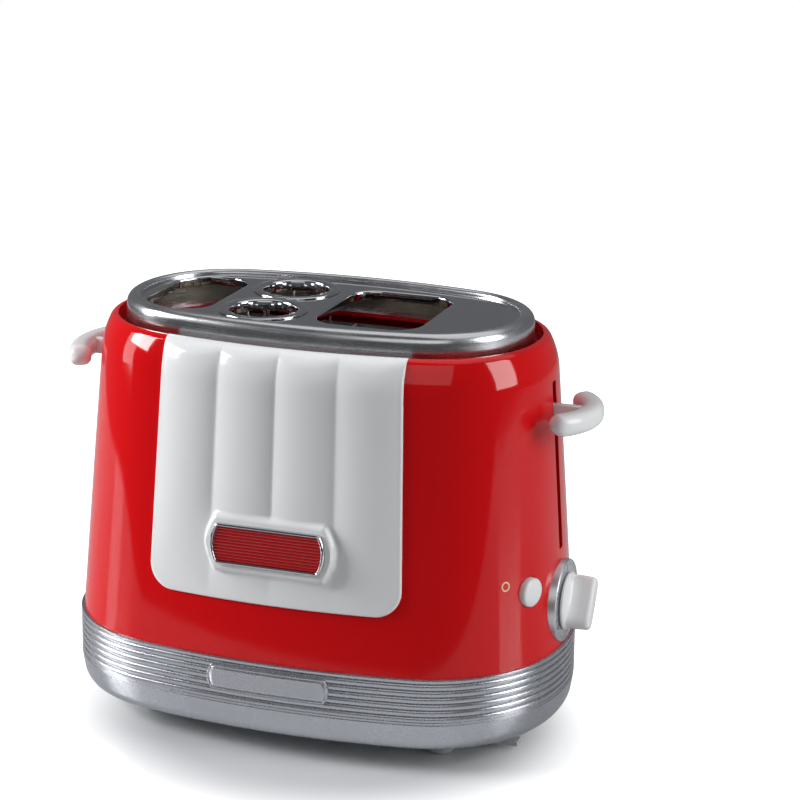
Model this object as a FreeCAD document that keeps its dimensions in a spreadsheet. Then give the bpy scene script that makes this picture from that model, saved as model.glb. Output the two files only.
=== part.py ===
import FreeCAD, Part
import math
import os

import Sketcher

# Hot dog toaster, millimetres, +Z up.
# Origin: middle of the footprint on the table. The controls face +X, the white panel faces -Y.

# Driving sizes: alias, value, meaning
SIZES = [
    # Red shell
    ("shell_bottom", 52.65, "height where the red shell stands on the base"),
    ("shell_top", 215.35, "height of the red shell's top lip"),
    ("low_half_length", 135.0, "shell half length at its bottom"),
    ("low_half_width", 86.8, "shell half width at its bottom"),
    ("low_front_radius", 425.0, "plan radius of the front at the bottom"),
    ("low_end_radius", 106.0, "plan radius of the ends at the bottom"),
    ("low_corner_radius", 71.6, "plan radius of the corners at the bottom"),
    ("top_half_length", 123.0, "shell half length at its top"),
    ("top_half_width", 73.2, "shell half width at its top"),
    ("top_front_radius", 345.0, "plan radius of the front at the top"),
    ("top_end_radius", 88.0, "plan radius of the ends at the top"),
    ("top_corner_radius", 66.4, "plan radius of the corners at the top"),
    ("shell_wall", 2.6, "shell wall"),
    ("lip_width", 7.4, "width of the shell's top lip"),
    ("shoulder_tall", 18.0, "height over which the shell's top turns in"),
    ("shoulder_in", 4.4, "how far it turns in there"),
    ("lip_round", 2.4, "radius of the lip's outer edge"),
    ("ledge_height", 206.0, "height of the ledge that carries the top tray"),
    ("ledge_thick", 2.4, "thickness of that ledge"),
    ("ledge_inset", 18.0, "how far the ledge reaches in from the outside"),
    ("lever_slot_width", 6.0, "width of the lever slots in the shell's ends"),
    ("lever_slot_low", 104.0, "bottom of the lever slots"),
    ("lever_slot_high", 194.5, "top of the lever slots"),
    # White panel with four flutes
    ("panel_low_half", 69.8, "panel half width at its bottom edge"),
    ("panel_top_half", 65.2, "panel half width at its top edge"),
    ("panel_bottom", 83.5, "height of the panel's bottom edge"),
    ("panel_corner", 14.0, "radius of the panel's bottom corners"),
    ("panel_proud", 1.6, "how far the panel stands out of the shell"),
    ("panel_hook", 8.0, "height of the panel's hook over the shell's lip"),
    ("flute_count", 4.0, "number of flutes"),
    ("flute_margin", 1.6, "plain border beside the outer flutes"),
    ("flute_start", 88.0, "height where the flutes run out"),
    ("flute_full", 150.0, "height where the flutes reach full depth"),
    ("flute_rise", 2.4, "how far a flute bulges at full depth"),
    ("flute_rise_low", 0.5, "how far a flute bulges where it runs out"),
    # Badge on the panel
    ("badge_height", 114.7, "height of the badge's centre"),
    ("badge_half_length", 31.4, "badge half length over its bowed ends"),
    ("badge_half_width", 10.8, "badge half height"),
    ("badge_bow", 3.0, "bow of the badge's ends"),
    ("badge_lift", 3.2, "height of the white pad under the badge"),
    ("badge_thick", 2.6, "thickness of the badge's frame"),
    ("badge_frame", 1.9, "width of the badge's frame"),
    ("badge_pad_margin", 3.4, "white pad's border round the badge"),
    ("badge_rib_count", 11.0, "number of ribs on the badge's field"),
    ("badge_rib_rise", 0.5, "height of those ribs"),
    # Steel top tray
    ("tray_inset", 11.95, "tray's side wall in from the shell's top outline"),
    ("tray_crest", 226.0, "height of the tray's rim"),
    ("tray_rim", 7.8, "width of the rim"),
    ("tray_recess", 2.5, "depth of the tray's plate under the rim"),
    ("tray_round", 5.2, "radius of the rim's outer edge"),
    ("tray_inner_round", 2.2, "radius of the rim's inner edge"),
    ("tray_sheet", 1.2, "tray's sheet"),
    ("collar_depth", 5.0, "depth of the collars under the openings"),
    ("slot_margin", 3.0, "least plate left round the bun slots"),
    ("left_slot_start", -97.0, "left bun slot, left edge"),
    ("left_slot_end", -57.0, "left bun slot, right edge"),
    ("left_slot_half", 37.0, "left bun slot, half depth"),
    ("right_slot_start", 3.0, "right bun slot, left edge"),
    ("right_slot_end", 60.0, "right bun slot, right edge"),
    ("right_slot_half", 38.0, "right bun slot, half depth"),
    ("slot_corner", 15.0, "corner radius of the bun slots"),
    ("sausage_place", -27.5, "sausage holes' centre along the length"),
    ("sausage_spread", 24.0, "sausage holes' centre, each side of the middle"),
    ("sausage_hole", 20.0, "radius of a sausage hole"),
    # Ribbed base
    ("base_bottom", 12.0, "underside of the base"),
    ("base_proud", 1.7, "how far the ribs stand out of the shell's outline"),
    ("base_low_proud", 0.4, "how far the base's foot stands out of that outline"),
    ("base_low_height", 18.3, "height of the base's foot"),
    ("base_turn_in", 6.0, "how far the base's underside turns in"),
    ("base_wall", 2.6, "base wall"),
    ("base_rim", 8.0, "width of the base's top rim inside the shell's outline"),
    ("base_rim_thick", 2.4, "thickness of that rim"),
    ("base_flange", 14.0, "width of the base's bottom flange"),
    ("base_floor", 2.5, "thickness of that flange"),
    ("rib_count", 6.0, "number of grooves round the base"),
    ("rib_pitch", 3.6, "groove to groove"),
    ("rib_first", 2.6, "first groove below the base's top edge"),
    ("rib_depth", 1.1, "depth of a groove between two rounded ribs"),
    ("rib_top", 0.3, "rounding of the base's top edge"),
    ("line_first", 2.8, "first fine line below the last groove"),
    ("line_pitch", 1.5, "fine line to fine line"),
    ("line_depth", 0.35, "depth of a fine line"),
    ("plate_half_length", 33.8, "name plate's half length"),
    ("plate_height", 41.6, "height of the name plate's centre"),
    ("plate_half_width", 6.8, "name plate's half height"),
    ("plate_thick", 0.8, "thickness of the name plate"),
    ("plate_bow", 2.4, "bow of the name plate's ends"),
    # Bottom cover, feet and cleats
    ("cover_inset", 8.0, "bottom cover's edge in from the shell's outline"),
    ("cover_thick", 2.0, "thickness of the bottom cover"),
    ("runner_width", 2.0, "width of the crumb tray's runners"),
    ("foot_place_x", 81.5, "feet, half their distance along the length"),
    ("foot_place_y", 45.5, "feet, half their distance across"),
    ("foot_radius", 7.0, "foot's radius at its top"),
    ("foot_bevel", 1.4, "bevel at the foot's sole"),
    ("cleat_gap", 1.0, "cord cleats, in from the base's bottom flange"),
    ("cleat_place_y", 30.0, "cord cleats, place across"),
    ("cleat_width", 7.0, "width of a cord cleat"),
    ("cleat_thick", 2.6, "thickness of a cord cleat"),
    ("cleat_reach", 9.0, "length of a cleat's hook"),
    ("cleat_drop", 9.0, "how far a cleat hangs down"),
    ("screw_head", 3.2, "radius of a cover screw's head"),
    ("screw_head_thick", 1.5, "height of a cover screw's head"),
    ("screw_shank", 1.5, "radius of a cover screw's shank"),
    ("screw_length", 7.0, "length of a cover screw's shank"),
    ("screw_inset", 11.0, "cover screws in from the shell's outline"),
    ("gland_radius", 7.0, "radius of the cord gland's flange"),
    ("gland_body", 5.0, "radius of the cord gland's body"),
    ("gland_flange", 2.0, "thickness of the gland's flange"),
    ("gland_place", -108.0, "cord gland's place along the length"),
    ("gland_height", 26.0, "height of the cord gland"),
    ("gland_dimple", 3.0, "radius of the gland's blind hole"),
    ("fit", 0.1, "clearance of parts that fit in holes"),
    ("slide_gap", 0.3, "running gap of sliding parts"),
    # Crumb tray
    ("crumb_centre", -18.0, "crumb tray's middle along the length"),
    ("crumb_half_length", 81.0, "crumb tray's half length"),
    ("crumb_floor", 30.0, "height of the crumb tray's underside"),
    ("crumb_depth", 10.0, "height of the crumb tray"),
    ("crumb_sheet", 1.2, "crumb tray's sheet"),
    ("crumb_front", -58.0, "crumb tray's inner end"),
    # Timer
    ("dial_height", 75.2, "height of the timer's axis"),
    ("dial_radius", 22.2, "radius of the timer's dial"),
    ("dial_face", 135.2, "dial's face along the length"),
    ("dial_spigot", 18.5, "radius of the dial's spigot in the shell"),
    ("dial_back", 123.0, "back of the dial's spigot"),
    ("dial_bevel", 0.8, "bevel of the dial's edge"),
    ("knob_turn", 30.0, "how far the knob stands off upright with the timer off, in degrees"),
    ("knob_radius", 15.6, "radius of the knob's disc"),
    ("knob_disc", 1.8, "thickness of the knob's disc"),
    ("knob_gap", 0.4, "gap between knob and dial"),
    ("knob_end", 150.0, "outer face of the knob's grip"),
    ("knob_grip_length", 28.6, "length of the knob's grip"),
    ("knob_grip_width", 10.4, "width of the knob's grip"),
    ("knob_round", 2.2, "radius of the grip's edges"),
    ("shaft_radius", 3.0, "radius of the timer's shaft"),
    ("shaft_depth", 10.0, "how far the shaft goes into the timer"),
    ("timer_length", 24.0, "timer's length"),
    ("timer_width", 36.0, "timer's width"),
    ("timer_height", 40.0, "timer's height"),
    # Stop button
    ("button_angle", -20.9, "button's direction in plan, degrees"),
    ("button_height", 91.1, "height of the button"),
    ("button_radius", 7.7, "button's radius"),
    ("button_proud", 3.0, "how far the button stands out"),
    ("button_length", 8.0, "button's length"),
    ("button_round", 1.6, "radius of the button's edge"),
    ("button_gap", 0.35, "gap round the button"),
    ("button_travel", 2.2, "button's travel"),
    ("switch_size", 8.0, "side of the switch behind the button"),
    ("switch_length", 6.0, "length of that switch"),
    # Levers
    ("left_lever_height", 188.0, "left lever's height"),
    ("right_lever_height", 178.0, "right lever's height"),
    ("left_lever_out", 146.6, "left lever's outer face"),
    ("right_lever_out", 150.6, "right lever's outer face"),
    ("lever_half", 29.0, "half length of a lever's bar"),
    ("left_lever_bow", 6.0, "how far the left lever's ends turn in"),
    ("right_lever_bow", 9.6, "how far the right lever's ends turn in"),
    ("lever_thick", 12.0, "lever's bar, through its middle"),
    ("lever_tall", 11.5, "height of a lever's bar"),
    ("lever_round", 4.2, "radius of a lever's edges"),
    ("stalk_width", 4.6, "width of a lever's stalk"),
    ("stalk_tall", 9.0, "height of a lever's stalk"),
    ("lever_stop", 116.0, "height of both levers when they are pushed down"),
    # Lift carriages
    ("rod_place", 109.0, "guide rods, place along the length"),
    ("rod_spread", 24.0, "guide rods, each side of the middle"),
    ("rod_radius", 2.0, "radius of a guide rod"),
    ("rod_fit", 0.08, "running clearance round a guide rod"),
    ("block_half_length", 4.5, "carriage block, half length"),
    ("block_half_width", 28.0, "carriage block, half width"),
    ("block_half_height", 9.0, "carriage block, half height"),
    ("bridge_height", 199.0, "underside of the rod bridges"),
    ("bridge_thick", 2.0, "thickness of the rod bridges"),
    ("drop_half_width", 6.0, "half width of a carriage's drop plate"),
    ("drop_thick", 1.5, "thickness of a carriage's drop plate"),
    ("arm_tall", 5.0, "height of a carriage's arms"),
    ("spring_inner", 2.7, "inner radius of a lift spring"),
    ("spring_outer", 3.7, "outer radius of a lift spring"),
    ("magnet_half", 8.0, "latch magnet's half width"),
    # Lifting racks
    ("left_rack_height", 140.0, "top of the left bun rack with the lever up"),
    ("right_rack_height", 140.0, "top of the right bun rack with the lever up"),
    ("rack_thick", 2.0, "thickness of a rack"),
    ("rack_spine", 7.0, "width of a rack's spine"),
    ("rack_finger", 3.0, "width of a rack's fingers"),
    ("rack_gap", 1.5, "rack's end in from its slot's edge"),
    ("rack_depth", 30.0, "half depth of a rack"),
    ("seat_radius", 15.5, "radius of a sausage seat"),
    ("cage_radius", 18.4, "radius of the sausage cages"),
    ("cage_wire", 0.9, "radius of the cages' hoop wire"),
    ("cage_upright", 0.7, "radius of the cages' upright wire"),
    ("cage_bottom", 88.0, "bottom of the sausage cages"),
    ("cage_flange", 23.6, "radius of a cage's collar on the tray"),
    ("cage_flange_thick", 1.0, "thickness of that collar"),
    ("cage_opening", 22.0, "half angle of a cage's gap, degrees"),
    # Chassis
    ("deck_inset", 2.9, "chassis floor's edge in from the shell's outline"),
    ("sheet", 1.0, "chassis sheet and heater boards"),
    ("deck_sheet", 1.5, "chassis floor"),
    ("shield_place", 46.0, "heat shields' inner faces"),
    ("shield_top", 202.0, "top of the heat shields"),
    ("left_end", -101.0, "left end plate's inner face"),
    ("right_end", 66.0, "right end plate's inner face"),
    ("arm_slot", 8.0, "half width of the end plates' arm slots"),
    ("board_low", 60.0, "bottom of the heater boards"),
    ("board_split", 8.0, "half gap between the halves of a split board"),
    ("left_outer_board", -99.6, "left outer heater board"),
    ("left_inner_board", -54.2, "left inner heater board"),
    ("right_inner_board", -0.8, "right inner heater board"),
    ("right_outer_board", 63.4, "right outer heater board"),
    ("ribbon_count", 9.0, "heating ribbons on a board"),
    ("ribbon_thick", 0.3, "thickness of a heating ribbon"),
    ("ribbon_tall", 2.0, "height of a heating ribbon"),
    ("guard_wire", 0.5, "radius of the bun guards' upright wires"),
    ("guard_tie", 0.8, "radius of the wires that tie them together"),
    ("guard_gap", 0.6, "bun guards, out from their slot's edge"),
    ("circuit_place", 24.0, "circuit board's place across"),
    ("circuit_length", 26.0, "circuit board's length"),
    ("circuit_tall", 60.0, "circuit board's height"),
]

doc = FreeCAD.newDocument("hot_dog_toaster")
sheet = doc.addObject("Spreadsheet::Sheet", "Sizes")
for row, (alias, value, meaning) in enumerate(SIZES, 1):
    sheet.set(f"A{row}", meaning)
    sheet.set(f"B{row}", str(value))
    sheet.setAlias(f"B{row}", alias)
doc.recompute()

NODES = []
BIG = 400.0
UP = FreeCAD.Vector(0, 0, 1)


def size(alias):
    return float(sheet.get(alias))


def vec(x, y, z):
    return FreeCAD.Vector(x, y, z)


def bound(item, **rules):
    """Bind an object's sizes and place to the sheet. A name with two underscores is a path."""
    for name, rule in rules.items():
        item.setExpression(name.replace("__", "."), rule)
    return item


def place(item, x="0", y="0", z="0"):
    return bound(item, Placement__Base__x=x, Placement__Base__y=y, Placement__Base__z=z)


def node(item, label):
    item.Label = label
    NODES.append(item)
    return item


def shape_node(label, shape):
    item = doc.addObject("Part::Feature", label)
    item.Shape = shape
    item.Placement = FreeCAD.Placement()
    return node(item, label)


def box_item(name, length, width, height, x, y, z):
    item = doc.addObject("Part::Box", name)
    bound(item, Length=length, Width=width, Height=height)
    return place(item, x, y, z)


def cylinder_item(name, radius, height, x, y, z):
    item = doc.addObject("Part::Cylinder", name)
    bound(item, Radius=radius, Height=height)
    return place(item, x, y, z)


def fuse_item(name, items):
    item = doc.addObject("Part::MultiFuse", name)
    item.Shapes = items
    return item


def cut_item(name, base, tool):
    item = doc.addObject("Part::Cut", name)
    item.Base = base
    item.Tool = tool
    return item


def group_item(name, items):
    item = doc.addObject("Part::Compound", name)
    item.Links = items
    return item


def block(x0, x1, y0, y1, z0, z1):
    return Part.makeBox(x1 - x0, y1 - y0, z1 - z0, vec(x0, y0, z0))


# Plan outlines


class Plan:
    """One level of the body: two shallow front arcs, two end arcs and four corner arcs."""

    def __init__(self, half_length, half_width, front, end, corner):
        self.half_length = half_length
        self.half_width = half_width
        self.front = front
        self.end = end
        self.corner = corner

    def inset(self, depth):
        return Plan(
            self.half_length - depth,
            self.half_width - depth,
            self.front - depth,
            self.end - depth,
            self.corner - depth,
        )

    def corner_centre(self):
        """Centre of the corner arc that is tangent inside the front and the end arcs."""
        front_y = self.front - self.half_width
        end_x = self.half_length - self.end
        reach_front = self.front - self.corner
        reach_end = self.end - self.corner
        gap = math.hypot(end_x, front_y)
        along = (reach_front**2 - reach_end**2 + gap**2) / (2 * gap)
        side = math.sqrt(reach_front**2 - along**2)
        ux = end_x / gap
        uy = -front_y / gap
        x = along * ux - side * uy
        y = front_y + along * uy + side * ux
        if y > 0 or x < end_x:
            x = along * ux + side * uy
            y = front_y + along * uy - side * ux
        return x, y

    def joins(self):
        """Where the corner arc meets the front arc and the end arc, for +X and -Y."""
        cx, cy = self.corner_centre()
        front_y = self.front - self.half_width
        end_x = self.half_length - self.end
        run = math.hypot(cx, cy - front_y)
        first = (cx * self.front / run, front_y + (cy - front_y) * self.front / run)
        run = math.hypot(cx - end_x, cy)
        second = (end_x + (cx - end_x) * self.end / run, cy * self.end / run)
        return first, second

    def reach(self, y):
        """How far out the outline lies at a place across, near the end."""
        join_y = abs(self.joins()[1][1])
        if abs(y) <= join_y:
            return self.half_length - self.end + math.sqrt(self.end**2 - y**2)
        cx, cy = self.corner_centre()
        return cx + math.sqrt(self.corner**2 - (abs(y) + cy) ** 2)

    def middle(self):
        """A point in the middle of the corner arc, for +X and -Y."""
        cx, cy = self.corner_centre()
        (ax, ay), (bx, by) = self.joins()
        mx = (ax + bx) / 2 - cx
        my = (ay + by) / 2 - cy
        run = math.hypot(mx, my)
        return cx + mx * self.corner / run, cy + my * self.corner / run

    def wire(self, z):
        (ax, ay), (bx, by) = self.joins()
        mx, my = self.middle()
        points = [
            (-ax, ay), (0, -self.half_width), (ax, ay), (mx, my), (bx, by), (self.half_length, 0),
            (bx, -by), (mx, -my), (ax, -ay), (0, self.half_width), (-ax, -ay), (-mx, -my),
            (-bx, -by), (-self.half_length, 0), (-bx, by), (-mx, my),
        ]
        points = [vec(x, y, z) for x, y in points]
        count = len(points)
        edges = []
        for i in range(0, count, 2):
            arc = Part.Arc(points[i], points[i + 1], points[(i + 2) % count])
            edges.append(arc.toShape())
        return Part.Wire(edges)


LOW = Plan(
    size("low_half_length"),
    size("low_half_width"),
    size("low_front_radius"),
    size("low_end_radius"),
    size("low_corner_radius"),
)
TOP = Plan(
    size("top_half_length"),
    size("top_half_width"),
    size("top_front_radius"),
    size("top_end_radius"),
    size("top_corner_radius"),
)


def stack(sections):
    """Solid through plan outlines, each given as (plan, height)."""
    return Part.makeLoft([plan.wire(z) for plan, z in sections], True, True)


def prism(plan, z0, z1):
    return Part.Face(plan.wire(z0)).extrude(vec(0, 0, z1 - z0))


def taper(inset, z0=None, z1=None):
    """The shell's tapered volume, moved in by inset and cut to the heights z0 to z1."""
    low = size("shell_bottom")
    high = size("shell_top")
    solid = stack([(LOW.inset(inset), low), (TOP.inset(inset), high)])
    if z0 is None:
        return solid
    return solid.common(block(-BIG, BIG, -BIG, BIG, z0, z1))


def level(z):
    """The shell's plan outline at height z."""
    share = (z - size("shell_bottom")) / (size("shell_top") - size("shell_bottom"))
    return Plan(
        LOW.half_length + share * (TOP.half_length - LOW.half_length),
        LOW.half_width + share * (TOP.half_width - LOW.half_width),
        LOW.front + share * (TOP.front - LOW.front),
        LOW.end + share * (TOP.end - LOW.end),
        LOW.corner + share * (TOP.corner - LOW.corner),
    )


def shoulder(z):
    """How far the shell turns in at height z, near its top."""
    share = max(0.0, 1 - (size("shell_top") - z) / size("shoulder_tall"))
    return size("shoulder_in") * share**2


def rounded(inset):
    """The shell's outside moved in by inset, with its shoulder and the rounded edge of its top lip."""
    high = size("shell_top")
    radius = size("lip_round") - inset
    start = high - radius
    foot = high - size("shoulder_tall")
    sections = [(LOW.inset(inset), size("shell_bottom")), (level(foot).inset(inset), foot)]
    steps = 5
    for step in range(1, steps + 1):
        z = foot + (start - foot) * step / steps
        sections.append((level(z).inset(inset + shoulder(z)), z))
    for step in range(1, steps + 1):
        angle = math.radians(90 * step / steps)
        z = start + radius * math.sin(angle)
        sections.append((level(z).inset(inset + shoulder(z) + radius * (1 - math.cos(angle))), z))
    return stack(sections)


def wall_y(z):
    """The shell's front face on the middle line at height z."""
    share = (z - size("shell_bottom")) / (size("shell_top") - size("shell_bottom"))
    return -(size("low_half_width") + share * (size("top_half_width") - size("low_half_width")))


def end_x(z):
    """The shell's end on the middle line at height z."""
    share = (z - size("shell_bottom")) / (size("shell_top") - size("shell_bottom"))
    return size("low_half_length") + share * (size("top_half_length") - size("low_half_length"))


def front_lean():
    """How far the front face leans back, in degrees."""
    run = size("low_half_width") - size("top_half_width")
    return math.degrees(math.atan2(run, size("shell_top") - size("shell_bottom")))


def front_placement(z, proud):
    """A frame on the front face: its X along +X, its Y up the face and its Z outward."""
    lean = math.radians(front_lean())
    spot = vec(0, wall_y(z) - proud * math.cos(lean), z + proud * math.sin(lean))
    return FreeCAD.Placement(spot, FreeCAD.Rotation(vec(1, 0, 0), 90 - front_lean()))


def rounded_rectangle(x0, x1, y0, y1, radius, z):
    """A closed wire with four round corners at height z."""
    turn = radius * (1 - math.sqrt(0.5))
    edges = [
        Part.LineSegment(vec(x0 + radius, y0, z), vec(x1 - radius, y0, z)),
        Part.Arc(vec(x1 - radius, y0, z), vec(x1 - turn, y0 + turn, z), vec(x1, y0 + radius, z)),
        Part.LineSegment(vec(x1, y0 + radius, z), vec(x1, y1 - radius, z)),
        Part.Arc(vec(x1, y1 - radius, z), vec(x1 - turn, y1 - turn, z), vec(x1 - radius, y1, z)),
        Part.LineSegment(vec(x1 - radius, y1, z), vec(x0 + radius, y1, z)),
        Part.Arc(vec(x0 + radius, y1, z), vec(x0 + turn, y1 - turn, z), vec(x0, y1 - radius, z)),
        Part.LineSegment(vec(x0, y1 - radius, z), vec(x0, y0 + radius, z)),
        Part.Arc(vec(x0, y0 + radius, z), vec(x0 + turn, y0 + turn, z), vec(x0 + radius, y0, z)),
    ]
    return Part.Wire([edge.toShape() for edge in edges])


# Red shell


def panel_outline(spread):
    """The white panel's outline seen from the front, as a prism right through the shell."""
    low = size("panel_bottom") - spread
    high = size("shell_top") + BIG
    run = size("shell_top") - size("panel_bottom")
    slope = (size("panel_top_half") - size("panel_low_half")) / run
    half = size("panel_low_half") + spread
    half_high = half + slope * (high - low)
    radius = size("panel_corner") + spread
    tilt = math.atan(-slope)
    reach = radius * math.tan((math.pi / 2 - tilt) / 2)
    side = vec(half + slope * 0, 0, low)
    up_x = half - reach * math.sin(tilt)
    up_z = low + reach * math.cos(tilt)
    centre = vec(half - reach, 0, low + radius)
    middle_x = centre.x + radius * math.cos(math.radians(-45) - tilt / 2)
    middle_z = centre.z + radius * math.sin(math.radians(-45) - tilt / 2)
    edges = [
        Part.LineSegment(vec(-side.x + reach, 0, low), vec(side.x - reach, 0, low)),
        Part.Arc(vec(side.x - reach, 0, low), vec(middle_x, 0, middle_z), vec(up_x, 0, up_z)),
        Part.LineSegment(vec(up_x, 0, up_z), vec(half_high, 0, high)),
        Part.LineSegment(vec(half_high, 0, high), vec(-half_high, 0, high)),
        Part.LineSegment(vec(-half_high, 0, high), vec(-up_x, 0, up_z)),
        Part.Arc(vec(-up_x, 0, up_z), vec(-middle_x, 0, middle_z), vec(-side.x + reach, 0, low)),
    ]
    face = Part.Face(Part.Wire([edge.toShape() for edge in edges]))
    return face.extrude(vec(0, -BIG, 0))


def panel_hook_zone():
    """The part of the shell's lip that the white panel hooks over."""
    top = size("shell_top")
    zone = panel_outline(0).common(block(-BIG, BIG, -BIG, 0, top - size("panel_hook"), top))
    return zone


def button_axis():
    """Where the button's axis leaves the shell, and its outward direction in plan."""
    z = size("button_height")
    share = (z - size("shell_bottom")) / (size("shell_top") - size("shell_bottom"))
    radius = size("low_end_radius") + share * (size("top_end_radius") - size("low_end_radius"))
    angle = math.radians(size("button_angle"))
    out = vec(math.cos(angle), math.sin(angle), 0)
    return vec(end_x(z) - radius, 0, z) + out * radius, out


def outer_shell():
    low = size("shell_bottom")
    high = size("shell_top")
    ledge = size("ledge_height")
    shell = rounded(0)
    shell = shell.cut(taper(size("shell_wall"), low, ledge - size("ledge_thick")))
    shell = shell.cut(prism(TOP.inset(size("lip_width")), ledge, high + 1))
    shell = shell.cut(prism(TOP.inset(size("ledge_inset")), ledge - BIG / 10, ledge + 1))
    half = size("lever_slot_width") / 2
    slot_low = size("lever_slot_low")
    slot_high = size("lever_slot_high")
    middle = block(-BIG, BIG, -half, half, slot_low + half, slot_high - half)
    for z in (slot_low + half, slot_high - half):
        end = Part.makeCylinder(half, 2 * BIG, vec(-BIG, 0, z), vec(1, 0, 0))
        middle = middle.fuse(end)
    shell = shell.cut(middle)
    spigot = size("dial_spigot") + size("fit")
    hole = Part.makeCylinder(spigot, BIG, vec(size("rod_place"), 0, size("dial_height")), vec(1, 0, 0))
    shell = shell.cut(hole)
    spot, out = button_axis()
    gap = size("button_radius") + size("button_gap")
    shell = shell.cut(Part.makeCylinder(gap, 2 * size("button_length"), spot - out * size("button_length"), out))
    shell = shell.cut(panel_hook_zone())
    return shape_node("outer_shell", shell)


# White fluted panel and its badge


def flute_section(low_x, high_x, z, rise):
    """One flute's cross-section at height z, from inside the shell to its round front."""
    share = (z - size("shell_bottom")) / (size("shell_top") - size("shell_bottom"))
    radius = size("low_front_radius") + share * (size("top_front_radius") - size("low_front_radius"))
    radius += size("panel_proud")
    centre_y = wall_y(z) + radius - size("panel_proud")

    def front_y(x):
        return centre_y - math.sqrt(radius**2 - x**2)

    back = wall_y(z) + size("low_half_width") / 2
    middle = (low_x + high_x) / 2
    edges = [
        Part.Arc(
            vec(low_x, front_y(low_x), z),
            vec(middle, front_y(middle) - rise, z),
            vec(high_x, front_y(high_x), z),
        ),
        Part.LineSegment(vec(high_x, front_y(high_x), z), vec(high_x, back, z)),
        Part.LineSegment(vec(high_x, back, z), vec(low_x, back, z)),
        Part.LineSegment(vec(low_x, back, z), vec(low_x, front_y(low_x), z)),
    ]
    return Part.Wire([edge.toShape() for edge in edges])


def flute_edge(index, z):
    """Where flute number index starts at height z."""
    run = size("shell_top") - size("panel_bottom")
    share = (z - size("panel_bottom")) / run
    half = size("panel_low_half") + share * (size("panel_top_half") - size("panel_low_half"))
    half -= size("flute_margin")
    return -half + 2 * half * index / round(size("flute_count"))


def bar_outline(half_length, half_width, bow):
    """A bar with bowed ends, lying on the ground plane."""
    edges = [
        Part.LineSegment(vec(-half_length + bow, -half_width, 0), vec(half_length - bow, -half_width, 0)),
        Part.Arc(
            vec(half_length - bow, -half_width, 0),
            vec(half_length, 0, 0),
            vec(half_length - bow, half_width, 0),
        ),
        Part.LineSegment(vec(half_length - bow, half_width, 0), vec(-half_length + bow, half_width, 0)),
        Part.Arc(
            vec(-half_length + bow, half_width, 0),
            vec(-half_length, 0, 0),
            vec(-half_length + bow, -half_width, 0),
        ),
    ]
    return Part.Wire([edge.toShape() for edge in edges])


def badge_solid(margin, low, high):
    """The badge's outline grown by margin, between two heights over the shell's front."""
    wire = bar_outline(
        size("badge_half_length") + margin, size("badge_half_width") + margin, size("badge_bow")
    )
    solid = Part.Face(wire).extrude(vec(0, 0, high - low))
    solid.translate(vec(0, 0, low))
    solid.Placement = front_placement(size("badge_height"), 0).multiply(solid.Placement)
    return solid


def badge_level():
    """Height of the white pad's face over the shell's front."""
    return size("panel_proud") + size("badge_lift")


def front_panel():
    high = size("shell_top")
    outline = panel_outline(0)
    shell = rounded(0)
    skin = rounded(-size("panel_proud")).common(outline)
    limit = rounded(-size("panel_proud") - size("flute_rise") - 0.5)
    levels = [
        (size("flute_start"), size("flute_rise_low")),
        (size("flute_full"), size("flute_rise")),
        (high, size("flute_rise")),
    ]
    panel = skin
    for index in range(round(size("flute_count"))):
        wires = []
        for z, rise in levels:
            wires.append(flute_section(flute_edge(index, z), flute_edge(index + 1, z), z, rise))
        panel = panel.fuse(Part.makeLoft(wires, True, True).common(outline).common(limit))
    pad = badge_solid(size("badge_pad_margin"), 0, badge_level())
    panel = panel.fuse(pad)
    panel = panel.cut(shell)
    hook = panel_hook_zone().common(shell).cut(prism(TOP.inset(size("lip_width")), 0, high + 1))
    panel = panel.fuse(hook).removeSplitter()
    return shape_node("front_panel", panel)


def badge_bezel():
    low = badge_level()
    frame = size("badge_frame")
    outer = badge_solid(0, low, low + size("badge_thick"))
    inner = badge_solid(-frame, low - 1, low + size("badge_thick") + 1)
    return shape_node("badge_bezel", outer.cut(inner))


def badge_plate():
    low = badge_level()
    field = badge_solid(-size("badge_frame"), low, low + size("badge_thick") / 2)
    count = round(size("badge_rib_count"))
    rise = size("badge_rib_rise")
    reach = size("badge_half_width") - size("badge_frame")
    pitch = 2 * reach / count
    limit = badge_solid(-size("badge_frame"), low, low + size("badge_thick"))
    ribs = []
    for index in range(count):
        middle = -reach + (index + 0.5) * pitch
        rib = block(
            -size("badge_half_length"),
            size("badge_half_length"),
            middle - pitch / 4,
            middle + pitch / 4,
            low,
            low + size("badge_thick") / 2 + rise,
        )
        rib.Placement = front_placement(size("badge_height"), 0)
        ribs.append(rib.common(limit))
    return shape_node("badge_plate", field.multiFuse(ribs).removeSplitter())


# Steel top tray


def plate_level():
    return size("tray_crest") - size("tray_recess")


def slot_prism(side, inset, z0, z1):
    """A bun slot's opening, moved in by inset: a rounded rectangle kept clear of the rim."""
    half = size(side + "_slot_half") - inset
    wire = rounded_rectangle(
        size(side + "_slot_start") + inset,
        size(side + "_slot_end") - inset,
        -half,
        half,
        size("slot_corner") - inset,
        z0,
    )
    keep = TOP.inset(size("tray_inset") + size("tray_rim") + size("slot_margin") + inset)
    return Part.Face(wire).extrude(vec(0, 0, z1 - z0)).common(prism(keep, z0, z1))


def hole_prism(sign, inset, z0, z1):
    centre = vec(size("sausage_place"), sign * size("sausage_spread"), z0)
    return Part.makeCylinder(size("sausage_hole") - inset, z1 - z0, centre)


def tray_openings(inset, z0, z1):
    return [
        slot_prism("left", inset, z0, z1),
        slot_prism("right", inset, z0, z1),
        hole_prism(-1, inset, z0, z1),
        hole_prism(1, inset, z0, z1),
    ]


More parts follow.
